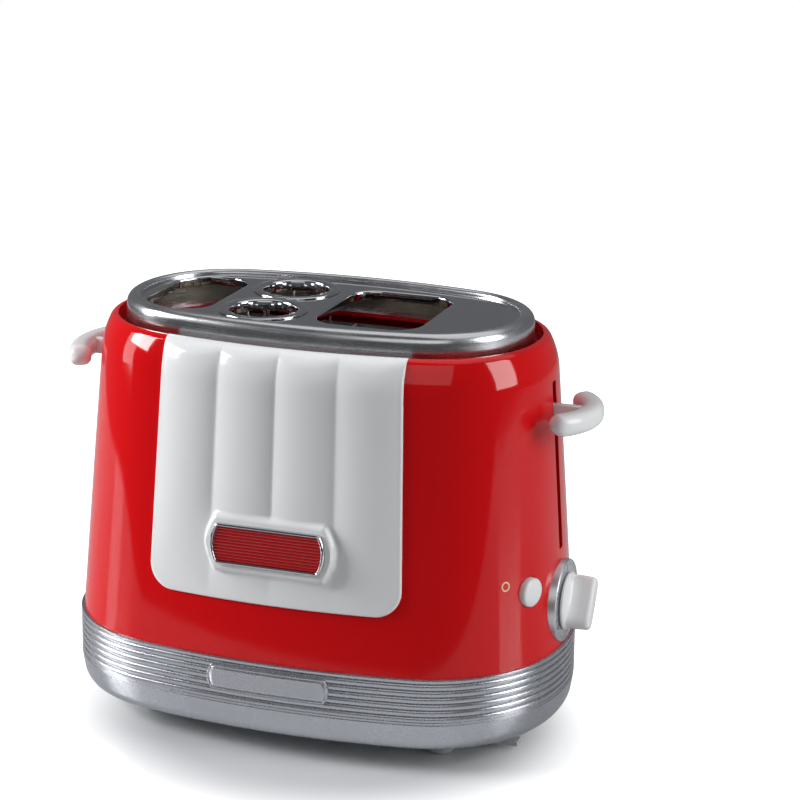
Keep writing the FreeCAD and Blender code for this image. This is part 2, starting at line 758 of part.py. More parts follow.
def top_rim():
    """The steel rim: a side wall on the shell's ledge under a rounded crest."""
    crest = size("tray_crest")
    low = plate_level() - size("tray_sheet")
    foot = size("ledge_height")
    inner = TOP.inset(size("tray_inset") + size("tray_rim"))
    rim = prism(TOP.inset(size("tray_inset")), foot, crest)
    outer_edge = [edge for edge in rim.Edges if edge.BoundBox.ZMin > crest - 0.01]
    rim = rim.makeFillet(size("tray_round"), outer_edge)
    rim = rim.cut(prism(inner, foot - 1, crest + 1))
    inner_edge = [edge for edge in rim.Edges if on_plan(edge, inner, crest)]
    rim = rim.makeFillet(size("tray_inner_round"), inner_edge)
    rim = rim.cut(prism(TOP.inset(size("tray_inset") + size("tray_sheet")), foot - 1, low))
    return shape_node("top_rim", rim)


def on_plan(edge, plan, z):
    """Whether an edge lies at height z with its ends on a plan outline."""
    if abs(edge.BoundBox.ZMin - z) > 0.01 or abs(edge.BoundBox.ZMax - z) > 0.01:
        return False
    wire = plan.wire(z)
    return all(wire.distToShape(Part.Vertex(point.Point))[0] < 0.01 for point in edge.Vertexes)


def top_plate():
    """The steel plate inside the rim, with a collar under each opening."""
    high = plate_level()
    low = high - size("tray_sheet")
    plate = prism(TOP.inset(size("tray_inset") + size("tray_rim")), low, high)
    foot = high - size("collar_depth")
    for collar in tray_openings(-size("tray_sheet"), foot, (low + high) / 2):
        plate = plate.fuse(collar)
    for opening in tray_openings(0, foot - 1, high + 1):
        plate = plate.cut(opening)
    return shape_node("top_plate", plate.removeSplitter())


# Base


def groove_heights():
    top = size("shell_bottom")
    count = round(size("rib_count"))
    return [top - size("rib_first") - index * size("rib_pitch") for index in range(count)]


def base_volume():
    """The base's outside as a solid block, with rounded ribs and two fine lines below them."""
    proud = -size("base_proud")
    depth = size("rib_depth")
    top = size("shell_bottom")
    grooves = groove_heights()
    pitch = size("rib_pitch")
    low = size("base_bottom")
    foot_height = size("base_low_height")
    turn = size("base_turn_in")
    profile = [
        (turn, low),
        (turn * 0.3, low + (foot_height - low) * 0.35),
        (-size("base_low_proud"), foot_height),
    ]
    line = size("line_depth")
    for index in (1, 0):
        z = grooves[-1] - size("line_first") - index * size("line_pitch")
        profile += [(proud, z - line), (proud + line, z), (proud, z + line)]
    rise = [(0.7, 0.083), (0.88, 0.35), (1.0, 1.0)]
    profile += [(proud + share * depth, grooves[-1] - (1 - place_up) * pitch) for place_up, share in rise]
    for z in reversed(grooves[1:]):
        steps = [(0.12, 0.35), (0.3, 0.083), (0.5, 0.0)] + rise
        profile += [(proud + share * depth, z + place_up * pitch) for place_up, share in steps]
    first = grooves[0]
    edge = size("rib_top")
    profile += [
        (proud + 0.35 * depth, first + 0.12 * pitch),
        (proud + 0.083 * depth, first + 0.3 * pitch),
        (proud, (first + top) / 2),
        (proud, top - edge),
        (proud + edge, top),
    ]
    return stack([(LOW.inset(inset), z) for inset, z in profile])


def crumb_gate(spread):
    """The crumb tray's way out through the base's back wall, grown by spread."""
    middle = size("crumb_centre")
    half = size("crumb_half_length") + spread
    low = size("crumb_floor") - spread
    high = size("crumb_floor") + size("crumb_depth") + spread
    return block(middle - half, middle + half, size("foot_place_y"), BIG, low, high)


def base_cavity():
    """The room inside the base."""
    wall = size("base_wall") - size("base_proud")
    low = size("base_bottom") + size("base_floor")
    high = size("shell_bottom") - size("base_rim_thick")
    return stack([(LOW.inset(wall + size("base_turn_in") / 2), low), (LOW.inset(wall), low + 6), (LOW.inset(wall), high)])


def gland_axis():
    """The cord gland's place on the base's back wall and the wall's outward direction."""
    x = size("gland_place")
    plan = LOW.inset(-size("base_low_proud"))
    cx, cy = plan.corner_centre()
    cx, cy = -cx, -cy
    y = cy + math.sqrt(plan.corner**2 - (x - cx) ** 2)
    out = vec(x - cx, y - cy, 0)
    out.normalize()
    return vec(x, y, size("gland_height")), out


def base_housing():
    base = base_volume().cut(base_cavity())
    rim = prism(LOW.inset(size("base_rim")), size("shell_bottom") - size("base_rim_thick") - 1, size("shell_bottom") + 1)
    base = base.cut(rim)
    base = base.cut(prism(LOW.inset(size("base_flange")), size("base_bottom") - 1, size("base_bottom") + size("base_floor") + 1))
    base = base.cut(crumb_gate(0))
    for x, y in screw_places():
        base = base.cut(Part.makeCylinder(size("screw_shank") + size("fit"), BIG / 8, vec(x, y, 0)))
    spot, out = gland_axis()
    reach = size("gland_radius") * 2
    base = base.cut(Part.makeCylinder(size("gland_body"), 2 * reach, spot - out * reach, out))
    return shape_node("base_housing", base)


def name_plate():
    """A bare plate bent to the base's front, with bowed ends."""
    wire = bar_outline(size("plate_half_length"), size("plate_half_width"), size("plate_bow"))
    blank = Part.Face(wire).extrude(vec(0, 0, BIG))
    blank.rotate(vec(0, 0, 0), vec(1, 0, 0), 90)
    blank.translate(vec(0, 0, size("plate_height")))
    skin = prism(LOW.inset(-size("base_proud") - size("plate_thick")), 0, BIG / 2)
    plate = blank.common(skin).cut(prism(LOW.inset(-size("base_proud")), 0, BIG / 2))
    return shape_node("name_plate", plate)


def screw_places():
    plan = LOW.inset(size("screw_inset"))
    (ax, ay), (bx, by) = plan.joins()
    return [(sx * ax, sy * ay) for sx in (-1, 1) for sy in (-1, 1)]


def cover_level():
    return size("base_bottom") + size("base_floor")


def bottom_cover():
    low = cover_level()
    high = low + size("cover_thick")
    cover = prism(LOW.inset(size("cover_inset")), low, high)
    top = size("crumb_floor") - size("slide_gap")
    width = size("runner_width")
    for edge in (-1, 1):
        x = size("crumb_centre") + edge * (size("crumb_half_length") - 2 * width)
        runner = block(x - width / 2, x + width / 2, size("crumb_front"), size("foot_place_y"), low, top)
        cover = cover.fuse(runner)
    for x, y in screw_places():
        cover = cover.cut(Part.makeCylinder(size("screw_shank") + size("fit"), BIG / 8, vec(x, y, 0)))
    return shape_node("bottom_cover", cover.removeSplitter())


def cover_screws():
    low = size("base_bottom")
    screws = []
    for x, y in screw_places():
        head = Part.makeCylinder(size("screw_head"), size("screw_head_thick"), vec(x, y, low - size("screw_head_thick")))
        head = head.makeChamfer(size("screw_head_thick") / 3, [head.Edges[2]])
        shank = Part.makeCylinder(size("screw_shank"), size("screw_length"), vec(x, y, low))
        screws.append(head.fuse(shank).removeSplitter())
    return shape_node("cover_screws", Part.makeCompound(screws))


def origin_plane(body, role):
    return next(plane for plane in body.Origin.OriginFeatures if plane.Role == role)


def round_sketch(body, name, rule):
    """A circle on the body's ground plane, its radius bound to a rule."""
    sketch = body.newObject("Sketcher::SketchObject", name)
    sketch.AttachmentSupport = (origin_plane(body, "XY_Plane"), [""])
    sketch.MapMode = "FlatFace"
    sketch.addGeometry(Part.Circle(vec(0, 0, 0), UP, 5.0), False)
    sketch.addConstraint(Sketcher.Constraint("Coincident", 0, 3, -1, 1))
    sketch.addConstraint(Sketcher.Constraint("Radius", 0, 5.0))
    sketch.setExpression("Constraints[1]", rule)
    return sketch


def edges_at(shape, z):
    """Names of the edges that lie at height z."""
    names = []
    for index, edge in enumerate(shape.Edges, 1):
        box = edge.BoundBox
        if abs(box.ZMin - z) < 1e-4 and abs(box.ZMax - z) < 1e-4:
            names.append(f"Edge{index}")
    return names


def foot(label, sign_x, sign_y):
    body = doc.addObject("PartDesign::Body", label)
    sketch = round_sketch(body, label + "_sketch", "Sizes.foot_radius")
    pad = body.newObject("PartDesign::Pad", label + "_pad")
    pad.Profile = sketch
    pad.setExpression("Length", "Sizes.base_bottom + Sizes.base_floor")
    doc.recompute()
    bevel = body.newObject("PartDesign::Chamfer", label + "_bevel")
    bevel.Base = (pad, edges_at(pad.Shape, 0))
    bevel.setExpression("Size", "Sizes.foot_bevel")
    body.Tip = bevel
    place(body, f"{sign_x} * Sizes.foot_place_x", f"{sign_y} * Sizes.foot_place_y")
    return node(body, label)


def cleat_place():
    """How far out the cord cleats stand: just inside the base's bottom flange."""
    rim = LOW.inset(size("base_flange") + size("cleat_gap"))
    y = size("cleat_place_y") + size("cleat_width") / 2
    return rim.reach(y) - size("cleat_thick")


def cord_cleat(label, sign):
    """An L-shaped hook under the base that the cord is wound on."""
    x = str(cleat_place())
    y = f"{sign} * Sizes.cleat_place_y - Sizes.cleat_width / 2"
    low = "Sizes.base_bottom - Sizes.cleat_drop"
    tall = "Sizes.cleat_drop + Sizes.base_floor"
    stem = box_item(label + "_stem", "Sizes.cleat_thick", "Sizes.cleat_width", tall, x, y, low)
    hook = box_item(
        label + "_hook", "Sizes.cleat_reach", "Sizes.cleat_width", "Sizes.cleat_thick", x, y, low
    )
    return node(fuse_item(label, [stem, hook]), label)


def cord_gland():
    """The bush that the cord leaves by, closed by its own dimple."""
    spot, out = gland_axis()
    flange = size("gland_flange")
    skin = size("base_proud") + flange / 2
    body = Part.makeCylinder(size("gland_body") - size("fit"), 2 * flange + size("base_wall"), spot - out * size("base_wall") * 2, out)
    collar = Part.makeCylinder(size("gland_radius"), flange + 2 * skin, spot - out * skin, out)
    collar = collar.cut(base_volume())
    gland = body.fuse(collar)
    tip = spot + out * (flange + skin)
    dimple = Part.makeCylinder(size("gland_dimple"), 2 * flange, tip - out * flange, out)
    return shape_node("cord_gland", gland.cut(dimple).removeSplitter())


def crumb_tray():
    """A shallow drawer whose face fills the gate in the base's back wall."""
    gap = size("slide_gap")
    thick = size("crumb_sheet")
    middle = size("crumb_centre")
    half = size("crumb_half_length") - gap
    low = size("crumb_floor")
    high = low + size("crumb_depth") - gap
    wall = size("base_wall") - size("base_proud")
    room = prism(LOW.inset(wall), low - 1, high + 1)
    pan = block(middle - half, middle + half, size("crumb_front"), BIG, low, high)
    hollow = block(middle - half + thick, middle + half - thick, size("crumb_front") + thick, BIG, low + thick, high + 1)
    pan = pan.cut(hollow).common(room)
    face = base_volume().common(crumb_gate(-gap)).cut(prism(LOW.inset(wall), 0, BIG))
    lug = crumb_gate(-gap).common(prism(LOW.inset(wall), low, high)).cut(prism(LOW.inset(wall + thick), 0, BIG))
    lug = lug.common(block(-BIG, BIG, 0, BIG, low, high))
    return shape_node("crumb_tray", pan.fuse(face).fuse(lug).removeSplitter())


# Timer


def timer_dial():
    """A round silver dial seated on the curved end of the shell."""
    z = size("dial_height")
    start = size("dial_back")
    face = size("dial_face")
    disc = Part.makeCylinder(size("dial_radius"), face - start, vec(start, 0, z), vec(1, 0, 0))
    rim = [edge for edge in disc.Edges if edge.BoundBox.XMin > face - 0.01]
    disc = disc.makeChamfer(size("dial_bevel"), rim)
    disc = disc.cut(rounded(0))
    spigot = Part.makeCylinder(size("dial_spigot"), face - start - 2, vec(start, 0, z), vec(1, 0, 0))
    dial = disc.fuse(spigot)
    bore = Part.makeCylinder(size("shaft_radius") + size("fit"), BIG, vec(0, 0, z), vec(1, 0, 0))
    return shape_node("timer_dial", dial.cut(bore).removeSplitter())


def timer_knob():
    """A disc with a bar grip across it, on its shaft. It is drawn lying and turned to face +X."""
    body = doc.addObject("PartDesign::Body", "timer_knob")
    disc_sketch = round_sketch(body, "knob_disc_sketch", "Sizes.knob_radius")
    disc = body.newObject("PartDesign::Pad", "knob_disc_pad")
    disc.Profile = disc_sketch
    disc.setExpression("Length", "Sizes.knob_disc")
    grip_sketch = body.newObject("Sketcher::SketchObject", "knob_grip_sketch")
    grip_sketch.AttachmentSupport = (origin_plane(body, "XY_Plane"), [""])
    grip_sketch.MapMode = "FlatFace"
    corners = [vec(-14, -5, 0), vec(14, -5, 0), vec(14, 5, 0), vec(-14, 5, 0)]
    for index in range(4):
        grip_sketch.addGeometry(Part.LineSegment(corners[index], corners[(index + 1) % 4]), False)
    for index in range(4):
        grip_sketch.addConstraint(Sketcher.Constraint("Coincident", index, 2, (index + 1) % 4, 1))
    for index in (0, 2):
        grip_sketch.addConstraint(Sketcher.Constraint("Horizontal", index))
    for index in (1, 3):
        grip_sketch.addConstraint(Sketcher.Constraint("Vertical", index))
    grip_sketch.addConstraint(Sketcher.Constraint("Symmetric", 0, 1, 1, 2, -1, 1))
    grip_sketch.addConstraint(Sketcher.Constraint("DistanceX", 0, 1, 0, 2, 28.0))
    grip_sketch.addConstraint(Sketcher.Constraint("DistanceY", 1, 1, 1, 2, 10.0))
    count = grip_sketch.ConstraintCount
    grip_sketch.setExpression(f"Constraints[{count - 2}]", "Sizes.knob_grip_length")
    grip_sketch.setExpression(f"Constraints[{count - 1}]", "Sizes.knob_grip_width")
    grip = body.newObject("PartDesign::Pad", "knob_grip_pad")
    grip.Profile = grip_sketch
    grip.setExpression("Length", "Sizes.knob_end - Sizes.dial_face - Sizes.knob_gap")
    doc.recompute()
    shaft_sketch = round_sketch(body, "knob_shaft_sketch", "Sizes.shaft_radius")
    shaft = body.newObject("PartDesign::Pad", "knob_shaft_pad")
    shaft.Profile = shaft_sketch
    shaft.Reversed = True
    shaft.setExpression("Length", "Sizes.dial_face + Sizes.knob_gap - Sizes.dial_back + Sizes.shaft_depth")
    doc.recompute()
    top = size("knob_end") - size("dial_face") - size("knob_gap")
    half_length = size("knob_grip_length") / 2
    half_width = size("knob_grip_width") / 2
    names = edges_at(shaft.Shape, top)
    for index, edge in enumerate(shaft.Shape.Edges, 1):
        box = edge.BoundBox
        upright = box.XLength < 1e-4 and box.YLength < 1e-4 and box.ZLength > top / 2
        corner = abs(abs(box.XMin) - half_length) < 1e-3 and abs(abs(box.YMin) - half_width) < 1e-3
        if upright and corner:
            names.append(f"Edge{index}")
    soft = body.newObject("PartDesign::Fillet", "knob_round")
    soft.Base = (shaft, names)
    soft.setExpression("Radius", "Sizes.knob_round")
    body.Tip = soft
    place(body, "Sizes.dial_face + Sizes.knob_gap", "0", "Sizes.dial_height")
    turn = FreeCAD.Rotation(vec(1, 0, 0), -size("knob_turn"))
    body.Placement.Rotation = turn.multiply(FreeCAD.Rotation(vec(0, 1, 0), 90))
    return node(body, "timer_knob")


def timer_body():
    """The timer's case behind the dial, bored for the shaft."""
    case = box_item(
        "timer_case",
        "Sizes.timer_length",
        "Sizes.timer_width",
        "Sizes.timer_height",
        "Sizes.dial_back - Sizes.timer_length",
        "-Sizes.timer_width / 2",
        "Sizes.shell_bottom + Sizes.deck_sheet",
    )
    bore = cylinder_item(
        "timer_bore",
        "Sizes.shaft_radius + Sizes.fit",
        "Sizes.shaft_depth + 1",
        "Sizes.dial_back - Sizes.shaft_depth - 1",
        "0",
        "Sizes.dial_height",
    )
    bore.Placement.Rotation = FreeCAD.Rotation(vec(0, 1, 0), 90)
    return node(cut_item("timer_body", case, bore), "timer_body")


# Stop button


def stop_button():
    """A round push button, drawn upright and turned to face out of the shell."""
    body = doc.addObject("PartDesign::Body", "stop_button")
    sketch = round_sketch(body, "button_sketch", "Sizes.button_radius")
    pad = body.newObject("PartDesign::Pad", "button_pad")
    pad.Profile = sketch
    pad.setExpression("Length", "Sizes.button_length")
    doc.recompute()
    soft = body.newObject("PartDesign::Fillet", "button_round")
    soft.Base = (pad, edges_at(pad.Shape, size("button_length")))
    soft.setExpression("Radius", "Sizes.button_round")
    body.Tip = soft
    spot, out = button_axis()
    start = spot + out * (size("button_proud") - size("button_length"))
    body.Placement = FreeCAD.Placement(start, FreeCAD.Rotation(UP, out))
    return node(body, "stop_button")


def button_switch():
    """The switch behind the button, on its post from the chassis floor."""
    spot, out = button_axis()
    side = size("switch_size")
    back = size("button_proud") - size("button_length") - size("button_travel") - size("slide_gap")
    start = back - size("switch_length")
    case = block(start, back, -side / 2, side / 2, -side / 2, side / 2)
    drop = size("button_height") - deck_top()
    post = block(start, start + size("switch_length") / 2, -side / 2, side / 2, -drop, -side / 2)
    shape = case.fuse(post)
    turn = FreeCAD.Rotation(UP, size("button_angle"))
    shape.Placement = FreeCAD.Placement(spot, turn)
    return shape_node("button_switch", shape.removeSplitter())


# Levers and lift carriages


def lever(side, sign):
    """A bowed bar on a flat stalk. sign is +1 for the right end."""
    out = size(side + "_lever_out")
    z = size(side + "_lever_height")
    half = size("lever_half")
    thick = size("lever_thick")
    tall = size("lever_tall")
    bow = size(side + "_lever_bow")
    chord = half - thick / 2
    radius = (chord**2 + bow**2) / (2 * bow)
    centre = vec(out - thick / 2 - radius, 0, z - tall / 2)
    turn = math.asin(chord / radius)

    def spot(reach, angle, past=0.0):
        """A point at a reach from the bow's centre, moved past it along the bow."""
        way = vec(math.cos(angle), math.sin(angle), 0)
        along = vec(-math.sin(angle), math.cos(angle), 0)
        return centre + way * reach + along * past

    outer = radius + thick / 2
    inner = radius - thick / 2
    edges = [
        Part.Arc(spot(outer, -turn), spot(outer, 0), spot(outer, turn)),
        Part.Arc(spot(outer, turn), spot(radius, turn, thick / 2), spot(inner, turn)),
        Part.Arc(spot(inner, turn), spot(inner, 0), spot(inner, -turn)),
        Part.Arc(spot(inner, -turn), spot(radius, -turn, -thick / 2), spot(outer, -turn)),
    ]
    bar = Part.Face(Part.Wire([edge.toShape() for edge in edges])).extrude(vec(0, 0, tall))
    bar = bar.makeFillet(size("lever_round"), [edge for edge in bar.Edges if edge.BoundBox.ZLength < 0.01])
    start = size("rod_place") + size("block_half_length")
    width = size("stalk_width") / 2
    stalk_tall = size("stalk_tall") / 2
    stalk = block(start, out - thick / 2, -width, width, z - stalk_tall, z + stalk_tall)
    shape = bar.fuse(stalk).removeSplitter()
    if sign < 0:
        shape = shape.mirror(vec(0, 0, 0), vec(1, 0, 0))
    return shape_node(side + "_lever", shape)


def lane(side):
    """Inner faces that a carriage works between: its end plate's outer face and its sign."""
    if side == "left":
        return -size("left_end") + size("sheet"), -1
    return size("right_end") + size("sheet"), 1


def carriage(side):
    """A block on two guide rods with a drop plate that carries the racks."""
    z = size(side + "_lever_height")
    plate, sign = lane(side)
    middle = size("rod_place")
    half = size("block_half_length")
    width = size("block_half_width")
    tall = size("block_half_height")
    body = block(middle - half, middle + half, -width, width, z - tall, z + tall)
    drop_in = plate + size("slide_gap")
    drop_out = drop_in + size("drop_thick")
    drop_half = size("drop_half_width")
    foot_level = size(side + "_rack_height") - size("rack_thick") - size("arm_tall")
    drop = block(drop_in, drop_out, -drop_half, drop_half, foot_level, z - tall + size("arm_tall"))
    body = body.fuse(drop)
    if middle - half > drop_in:
        arm = block(drop_in, middle - half, -drop_half, drop_half, z - tall, z - tall + size("arm_tall"))
        body = body.fuse(arm)
    for sign_y in (-1, 1):
        centre = vec(middle, sign_y * size("rod_spread"), z - tall - 1)
        bore = Part.makeCylinder(size("rod_radius") + size("rod_fit"), 2 * tall + 2, centre)
        body = body.cut(bore)
    shape = body.removeSplitter()
    if sign < 0:
        shape = shape.mirror(vec(0, 0, 0), vec(1, 0, 0))
    return shape_node(side + "_carriage", shape)


def bun_rack(side):
    """A comb under the bun: a spine from the carriage with fingers to each side."""
    plate, sign = lane(side)
    start = size(side + "_slot_start")
    end = size(side + "_slot_end")
    top = size(side + "_rack_height")
    gap = size("rack_gap")
    if side == "left":
        near, far = -end + gap, -start - gap
    else:
        near, far = start + gap, end - gap
    outside = plate + size("slide_gap")
    spine = size("rack_spine") / 2
    low = top - size("rack_thick")
    rack = block(near, outside, -spine, spine, low, top)
    rib = block(near, outside, -size("rack_thick") / 2, size("rack_thick") / 2, low - size("arm_tall"), top)
    rack = rack.fuse(rib)
    finger = size("rack_finger")
    count = max(2, int((far - near) / (3 * finger)))
    for index in range(count):
        x = near + (far - near - finger) * index / (count - 1)
        reach = size("rack_depth") - (spine if index in (0, count - 1) else 0)
        rack = rack.fuse(block(x, x + finger, -reach, reach, low, top))
    shape = rack.removeSplitter()
    if sign < 0:
        shape = shape.mirror(vec(0, 0, 0), vec(1, 0, 0))
    return shape_node(side + "_bun_rack", shape)


def sausage_lift():
    """Two round seats on a yoke from the end of the left bun rack."""
    top = size("left_rack_height")
    low = top - size("rack_thick")
    centre = size("sausage_place")
    spread = size("sausage_spread")
    start = size("left_slot_end") - size("rack_gap")
    half = size("rack_thick")
    yoke = block(start, centre + half, -half, half, low - size("arm_tall"), top)
    cross = block(centre - half, centre + half, -spread, spread, low - size("arm_tall"), low)
    lift = yoke.fuse(cross)
    for sign in (-1, 1):
        seat = Part.makeCylinder(size("seat_radius"), size("rack_thick"), vec(centre, sign * spread, low))
        lift = lift.fuse(seat)
    return shape_node("sausage_lift", lift.removeSplitter())


def cage_centre(sign, z):
    return vec(size("sausage_place"), sign * size("sausage_spread"), z)


def cage_collar(label, sign):
    """The ring that a sausage cage hangs by: a flange on the plate and a skirt in the hole."""
    wire = size("cage_wire")
    radius = size("cage_radius")
    top = plate_level()
    thick = size("cage_flange_thick")
    flange = Part.makeCylinder(size("cage_flange"), thick, cage_centre(sign, top))
    rim = [edge for edge in flange.Edges if edge.BoundBox.ZMin > top + 0.01]
    flange = flange.makeChamfer(thick / 2, rim)
    skirt = Part.makeCylinder(radius + wire, collar_drop() + thick / 2, cage_centre(sign, top - collar_drop()))
    ring = flange.fuse(skirt)
    bore = Part.makeCylinder(radius - wire, BIG / 4, cage_centre(sign, top - BIG / 8))
    return shape_node(label, ring.cut(bore).removeSplitter())


def sausage_cage(label, sign):
    """Open hoops on upright wires under the collar. Its gap faces the toaster's middle."""
    radius = size("cage_radius")
    gap = size("cage_opening")
    top = plate_level() - collar_drop()
    low = size("cage_bottom")
    facing = 90 if sign < 0 else -90
    count = 6
    step = (360 - 2 * gap) / count
    pieces = []
    for index in range(count):
        angle = math.radians(facing + gap + step * (index + 0.5))
        way = vec(math.cos(angle), math.sin(angle), 0)
        pieces.append(Part.makeCylinder(size("cage_upright"), top - low, cage_centre(sign, low) + way * radius))
    for z in (low, (low + top) / 2):
        hoop = Part.makeTorus(radius, size("cage_wire"), cage_centre(sign, z), UP, 0, 360, 360 - 2 * gap)
        hoop.rotate(cage_centre(sign, 0), UP, facing + gap)
        pieces.append(hoop)
    return shape_node(label, pieces[0].multiFuse(pieces[1:]))


def collar_drop():
    return size("collar_depth") + size("tray_sheet")


def guide_rods(side):
    _, sign = lane(side)
    rods = []
    for name, sign_y in (("front", -1), ("back", 1)):
        rods.append(cylinder_item(
            f"{side}_{name}_rod",
            "Sizes.rod_radius",
            "Sizes.bridge_height - Sizes.shell_bottom - Sizes.deck_sheet",
            f"{sign} * Sizes.rod_place",
            f"{sign_y} * Sizes.rod_spread",
            "Sizes.shell_bottom + Sizes.deck_sheet",
        ))
    return node(group_item(side + "_guide_rods", rods), side + "_guide_rods")


def rod_bridge(side):
    """The plate from the end plate's top out over the guide rods."""
    _, sign = lane(side)
    if sign < 0:
        start = "-Sizes.rod_place - Sizes.block_half_length"
        length = "Sizes.rod_place + Sizes.block_half_length + Sizes.left_end - Sizes.sheet"
    else:
        start = "Sizes.right_end + Sizes.sheet"
        length = "Sizes.rod_place + Sizes.block_half_length - Sizes.right_end - Sizes.sheet"
    item = box_item(
        side + "_rod_bridge",
        length,
        "2 * Sizes.block_half_width",
        "Sizes.bridge_thick",
        start,
        "-Sizes.block_half_width",
        "Sizes.bridge_height",
    )
    return node(item, side + "_rod_bridge")


def lift_springs(side):
    """Two springs round the guide rods under the block, as plain tubes."""
    _, sign = lane(side)
    low = deck_top()
    high = size(side + "_lever_height") - size("block_half_height")
    tubes = []
    for sign_y in (-1, 1):
        centre = vec(sign * size("rod_place"), sign_y * size("rod_spread"), low)
        tube = Part.makeCylinder(size("spring_outer"), high - low, centre)
        tubes.append(tube.cut(Part.makeCylinder(size("spring_inner"), high - low, centre)))
    return shape_node(side + "_lift_springs", Part.makeCompound(tubes))


def latch_magnet(side):
    """The magnet that holds the carriage down, under the block's lowest place."""
    _, sign = lane(side)
    middle = sign * size("rod_place")
    half_length = size("block_half_length")
    half = size("magnet_half")
    top = size("lever_stop") - size("block_half_height") - size("slide_gap")
    low = deck_top()
    if sign > 0:
        low = deck_top() + size("timer_height")
    base = block(middle - half_length, middle + half_length, -half, half, low, top - 3)
    pole = block(middle - half_length / 2, middle + half_length / 2, -half / 2, half / 2, top - 3, top)
    return shape_node(side + "_latch_magnet", base.fuse(pole).removeSplitter())


# Chassis


def deck_top():
    return size("shell_bottom") + size("deck_sheet")


def chassis_floor():
    """The steel floor on the base's rim, with crumb slits under the openings."""
    low = size("shell_bottom")
    high = deck_top()
    floor = prism(LOW.inset(size("deck_inset")), low, high)
    slit = 4.0
    depth = size("shield_place") - slit
    x = size("left_outer_board") + 2 * slit
    while x + slit < size("right_outer_board") - slit:
        for y0, y1 in ((-depth, -slit), (slit, depth)):
            floor = floor.cut(block(x, x + slit, y0, y1, low - 1, high + 1))
        x += 3 * slit
    return shape_node("chassis_floor", floor)


def heat_shield(label, sign):
    start = "Sizes.left_end - Sizes.sheet"
    y = "Sizes.shield_place" if sign > 0 else "-Sizes.shield_place - Sizes.sheet"
    item = box_item(
        label,
        "Sizes.right_end - Sizes.left_end + 2 * Sizes.sheet",
        "Sizes.sheet",
        "Sizes.shield_top - Sizes.shell_bottom - Sizes.deck_sheet",
        start,
        y,
        "Sizes.shell_bottom + Sizes.deck_sheet",
    )
    return node(item, label)


def end_plate(side):
    """A chassis end with a slot that the rack's spine moves in."""
    x = "Sizes.left_end - Sizes.sheet" if side == "left" else "Sizes.right_end"
    plate = box_item(
        side + "_end_blank",
        "Sizes.sheet",
        "2 * Sizes.shield_place",
        "Sizes.shield_top - Sizes.shell_bottom - Sizes.deck_sheet",
        x,
        "-Sizes.shield_place",
        "Sizes.shell_bottom + Sizes.deck_sheet",
    )
    drop = f"(Sizes.{side}_lever_height - Sizes.lever_stop)"
    low = f"Sizes.{side}_rack_height - Sizes.rack_thick - Sizes.arm_tall - 2 - {drop}"
    slot = box_item(
        side + "_end_slot",
        "3 * Sizes.sheet",
        "2 * Sizes.arm_slot",
        f"Sizes.{side}_rack_height + 4 - ({low})",
        x + " - Sizes.sheet",
        "-Sizes.arm_slot",
        low,
    )
    return node(cut_item(side + "_end_plate", plate, slot), side + "_end_plate")


def heater_board(label, split, toward):
    """A mica board in its slots between the heat shields, with heating ribbons on one face."""
    x = size(label)
    half = size("sheet") / 2
    low = size("board_low")
    high = size("shield_top")
    inner = size("board_split") if split else -size("shield_place")
    spans = [(inner, size("shield_place"))]
    if split:
        spans.append((-size("shield_place"), -inner))
    count = round(size("ribbon_count"))
    pitch = (high - low) / (count + 1)
    solids = []
    for y0, y1 in spans:
        board = block(x - half, x + half, y0, y1, low, high)
        for index in range(count):
            z = low + (index + 1) * pitch
            face = x + toward * half
            near = min(face, face + toward * size("ribbon_thick"))
            tall = size("ribbon_tall") / 2
            ribbon = block(near, near + size("ribbon_thick"), y0 + 2, y1 - 2, z - tall, z + tall)
            board = board.fuse(ribbon)
        solids.append(board.removeSplitter())
    return shape_node(label, Part.makeCompound(solids))


def guard_side(x, low, high, depth):
    """One side of a bun guard: upright wires with a tie above and below."""
    tie = size("guard_tie")
    ties = []
    for z in (low + tie, high - tie):
        ties.append(Part.makeCylinder(tie, 2 * depth, vec(x, -depth, z), vec(0, 1, 0)))
    uprights = []
    for share in (-0.9, -0.55, 0.55, 0.9):
        foot_place = vec(x, share * depth, low + tie)
        uprights.append(Part.makeCylinder(size("guard_wire"), high - low - 2 * tie, foot_place))
    return ties[0].multiFuse(ties[1:] + uprights)


def bun_guard(side):
    low = deck_top()
    high = size("shield_top")
    gap = size("guard_gap")
    depth = size("rack_depth")
    sides = [
        guard_side(size(side + "_slot_start") - gap, low, high, depth),
        guard_side(size(side + "_slot_end") + gap, low, high, depth),
    ]
    return shape_node(side + "_bun_guard", Part.makeCompound(sides))


def circuit_board():
    """The control board, upright on the chassis floor beside the timer."""
    item = box_item(
        "circuit_board",
        "Sizes.circuit_length",
        "Sizes.deck_sheet",
        "Sizes.circuit_tall",
        "Sizes.right_end + 3 * Sizes.sheet",
        "Sizes.circuit_place",
        "Sizes.shell_bottom + Sizes.deck_sheet",
    )
    return node(item, "circuit_board")


# Assembly

outer_shell()
front_panel()
badge_bezel()
badge_plate()
top_rim()
top_plate()
base_housing()
name_plate()
bottom_cover()
cover_screws()
foot("front_left_foot", -1, -1)
foot("front_right_foot", 1, -1)
foot("back_left_foot", -1, 1)
foot("back_right_foot", 1, 1)
cord_cleat("front_cord_cleat", -1)
cord_cleat("back_cord_cleat", 1)
cord_gland()
crumb_tray()
timer_dial()
timer_knob()
timer_body()
stop_button()
button_switch()
for side, sign in (("left", -1), ("right", 1)):
    lever(side, sign)
    carriage(side)
    bun_rack(side)
    guide_rods(side)
    rod_bridge(side)
    lift_springs(side)
    latch_magnet(side)
    end_plate(side)
    bun_guard(side)
sausage_lift()
cage_collar("front_cage_collar", -1)
cage_collar("back_cage_collar", 1)
sausage_cage("front_sausage_cage", -1)
sausage_cage("back_sausage_cage", 1)
chassis_floor()
heat_shield("front_heat_shield", -1)
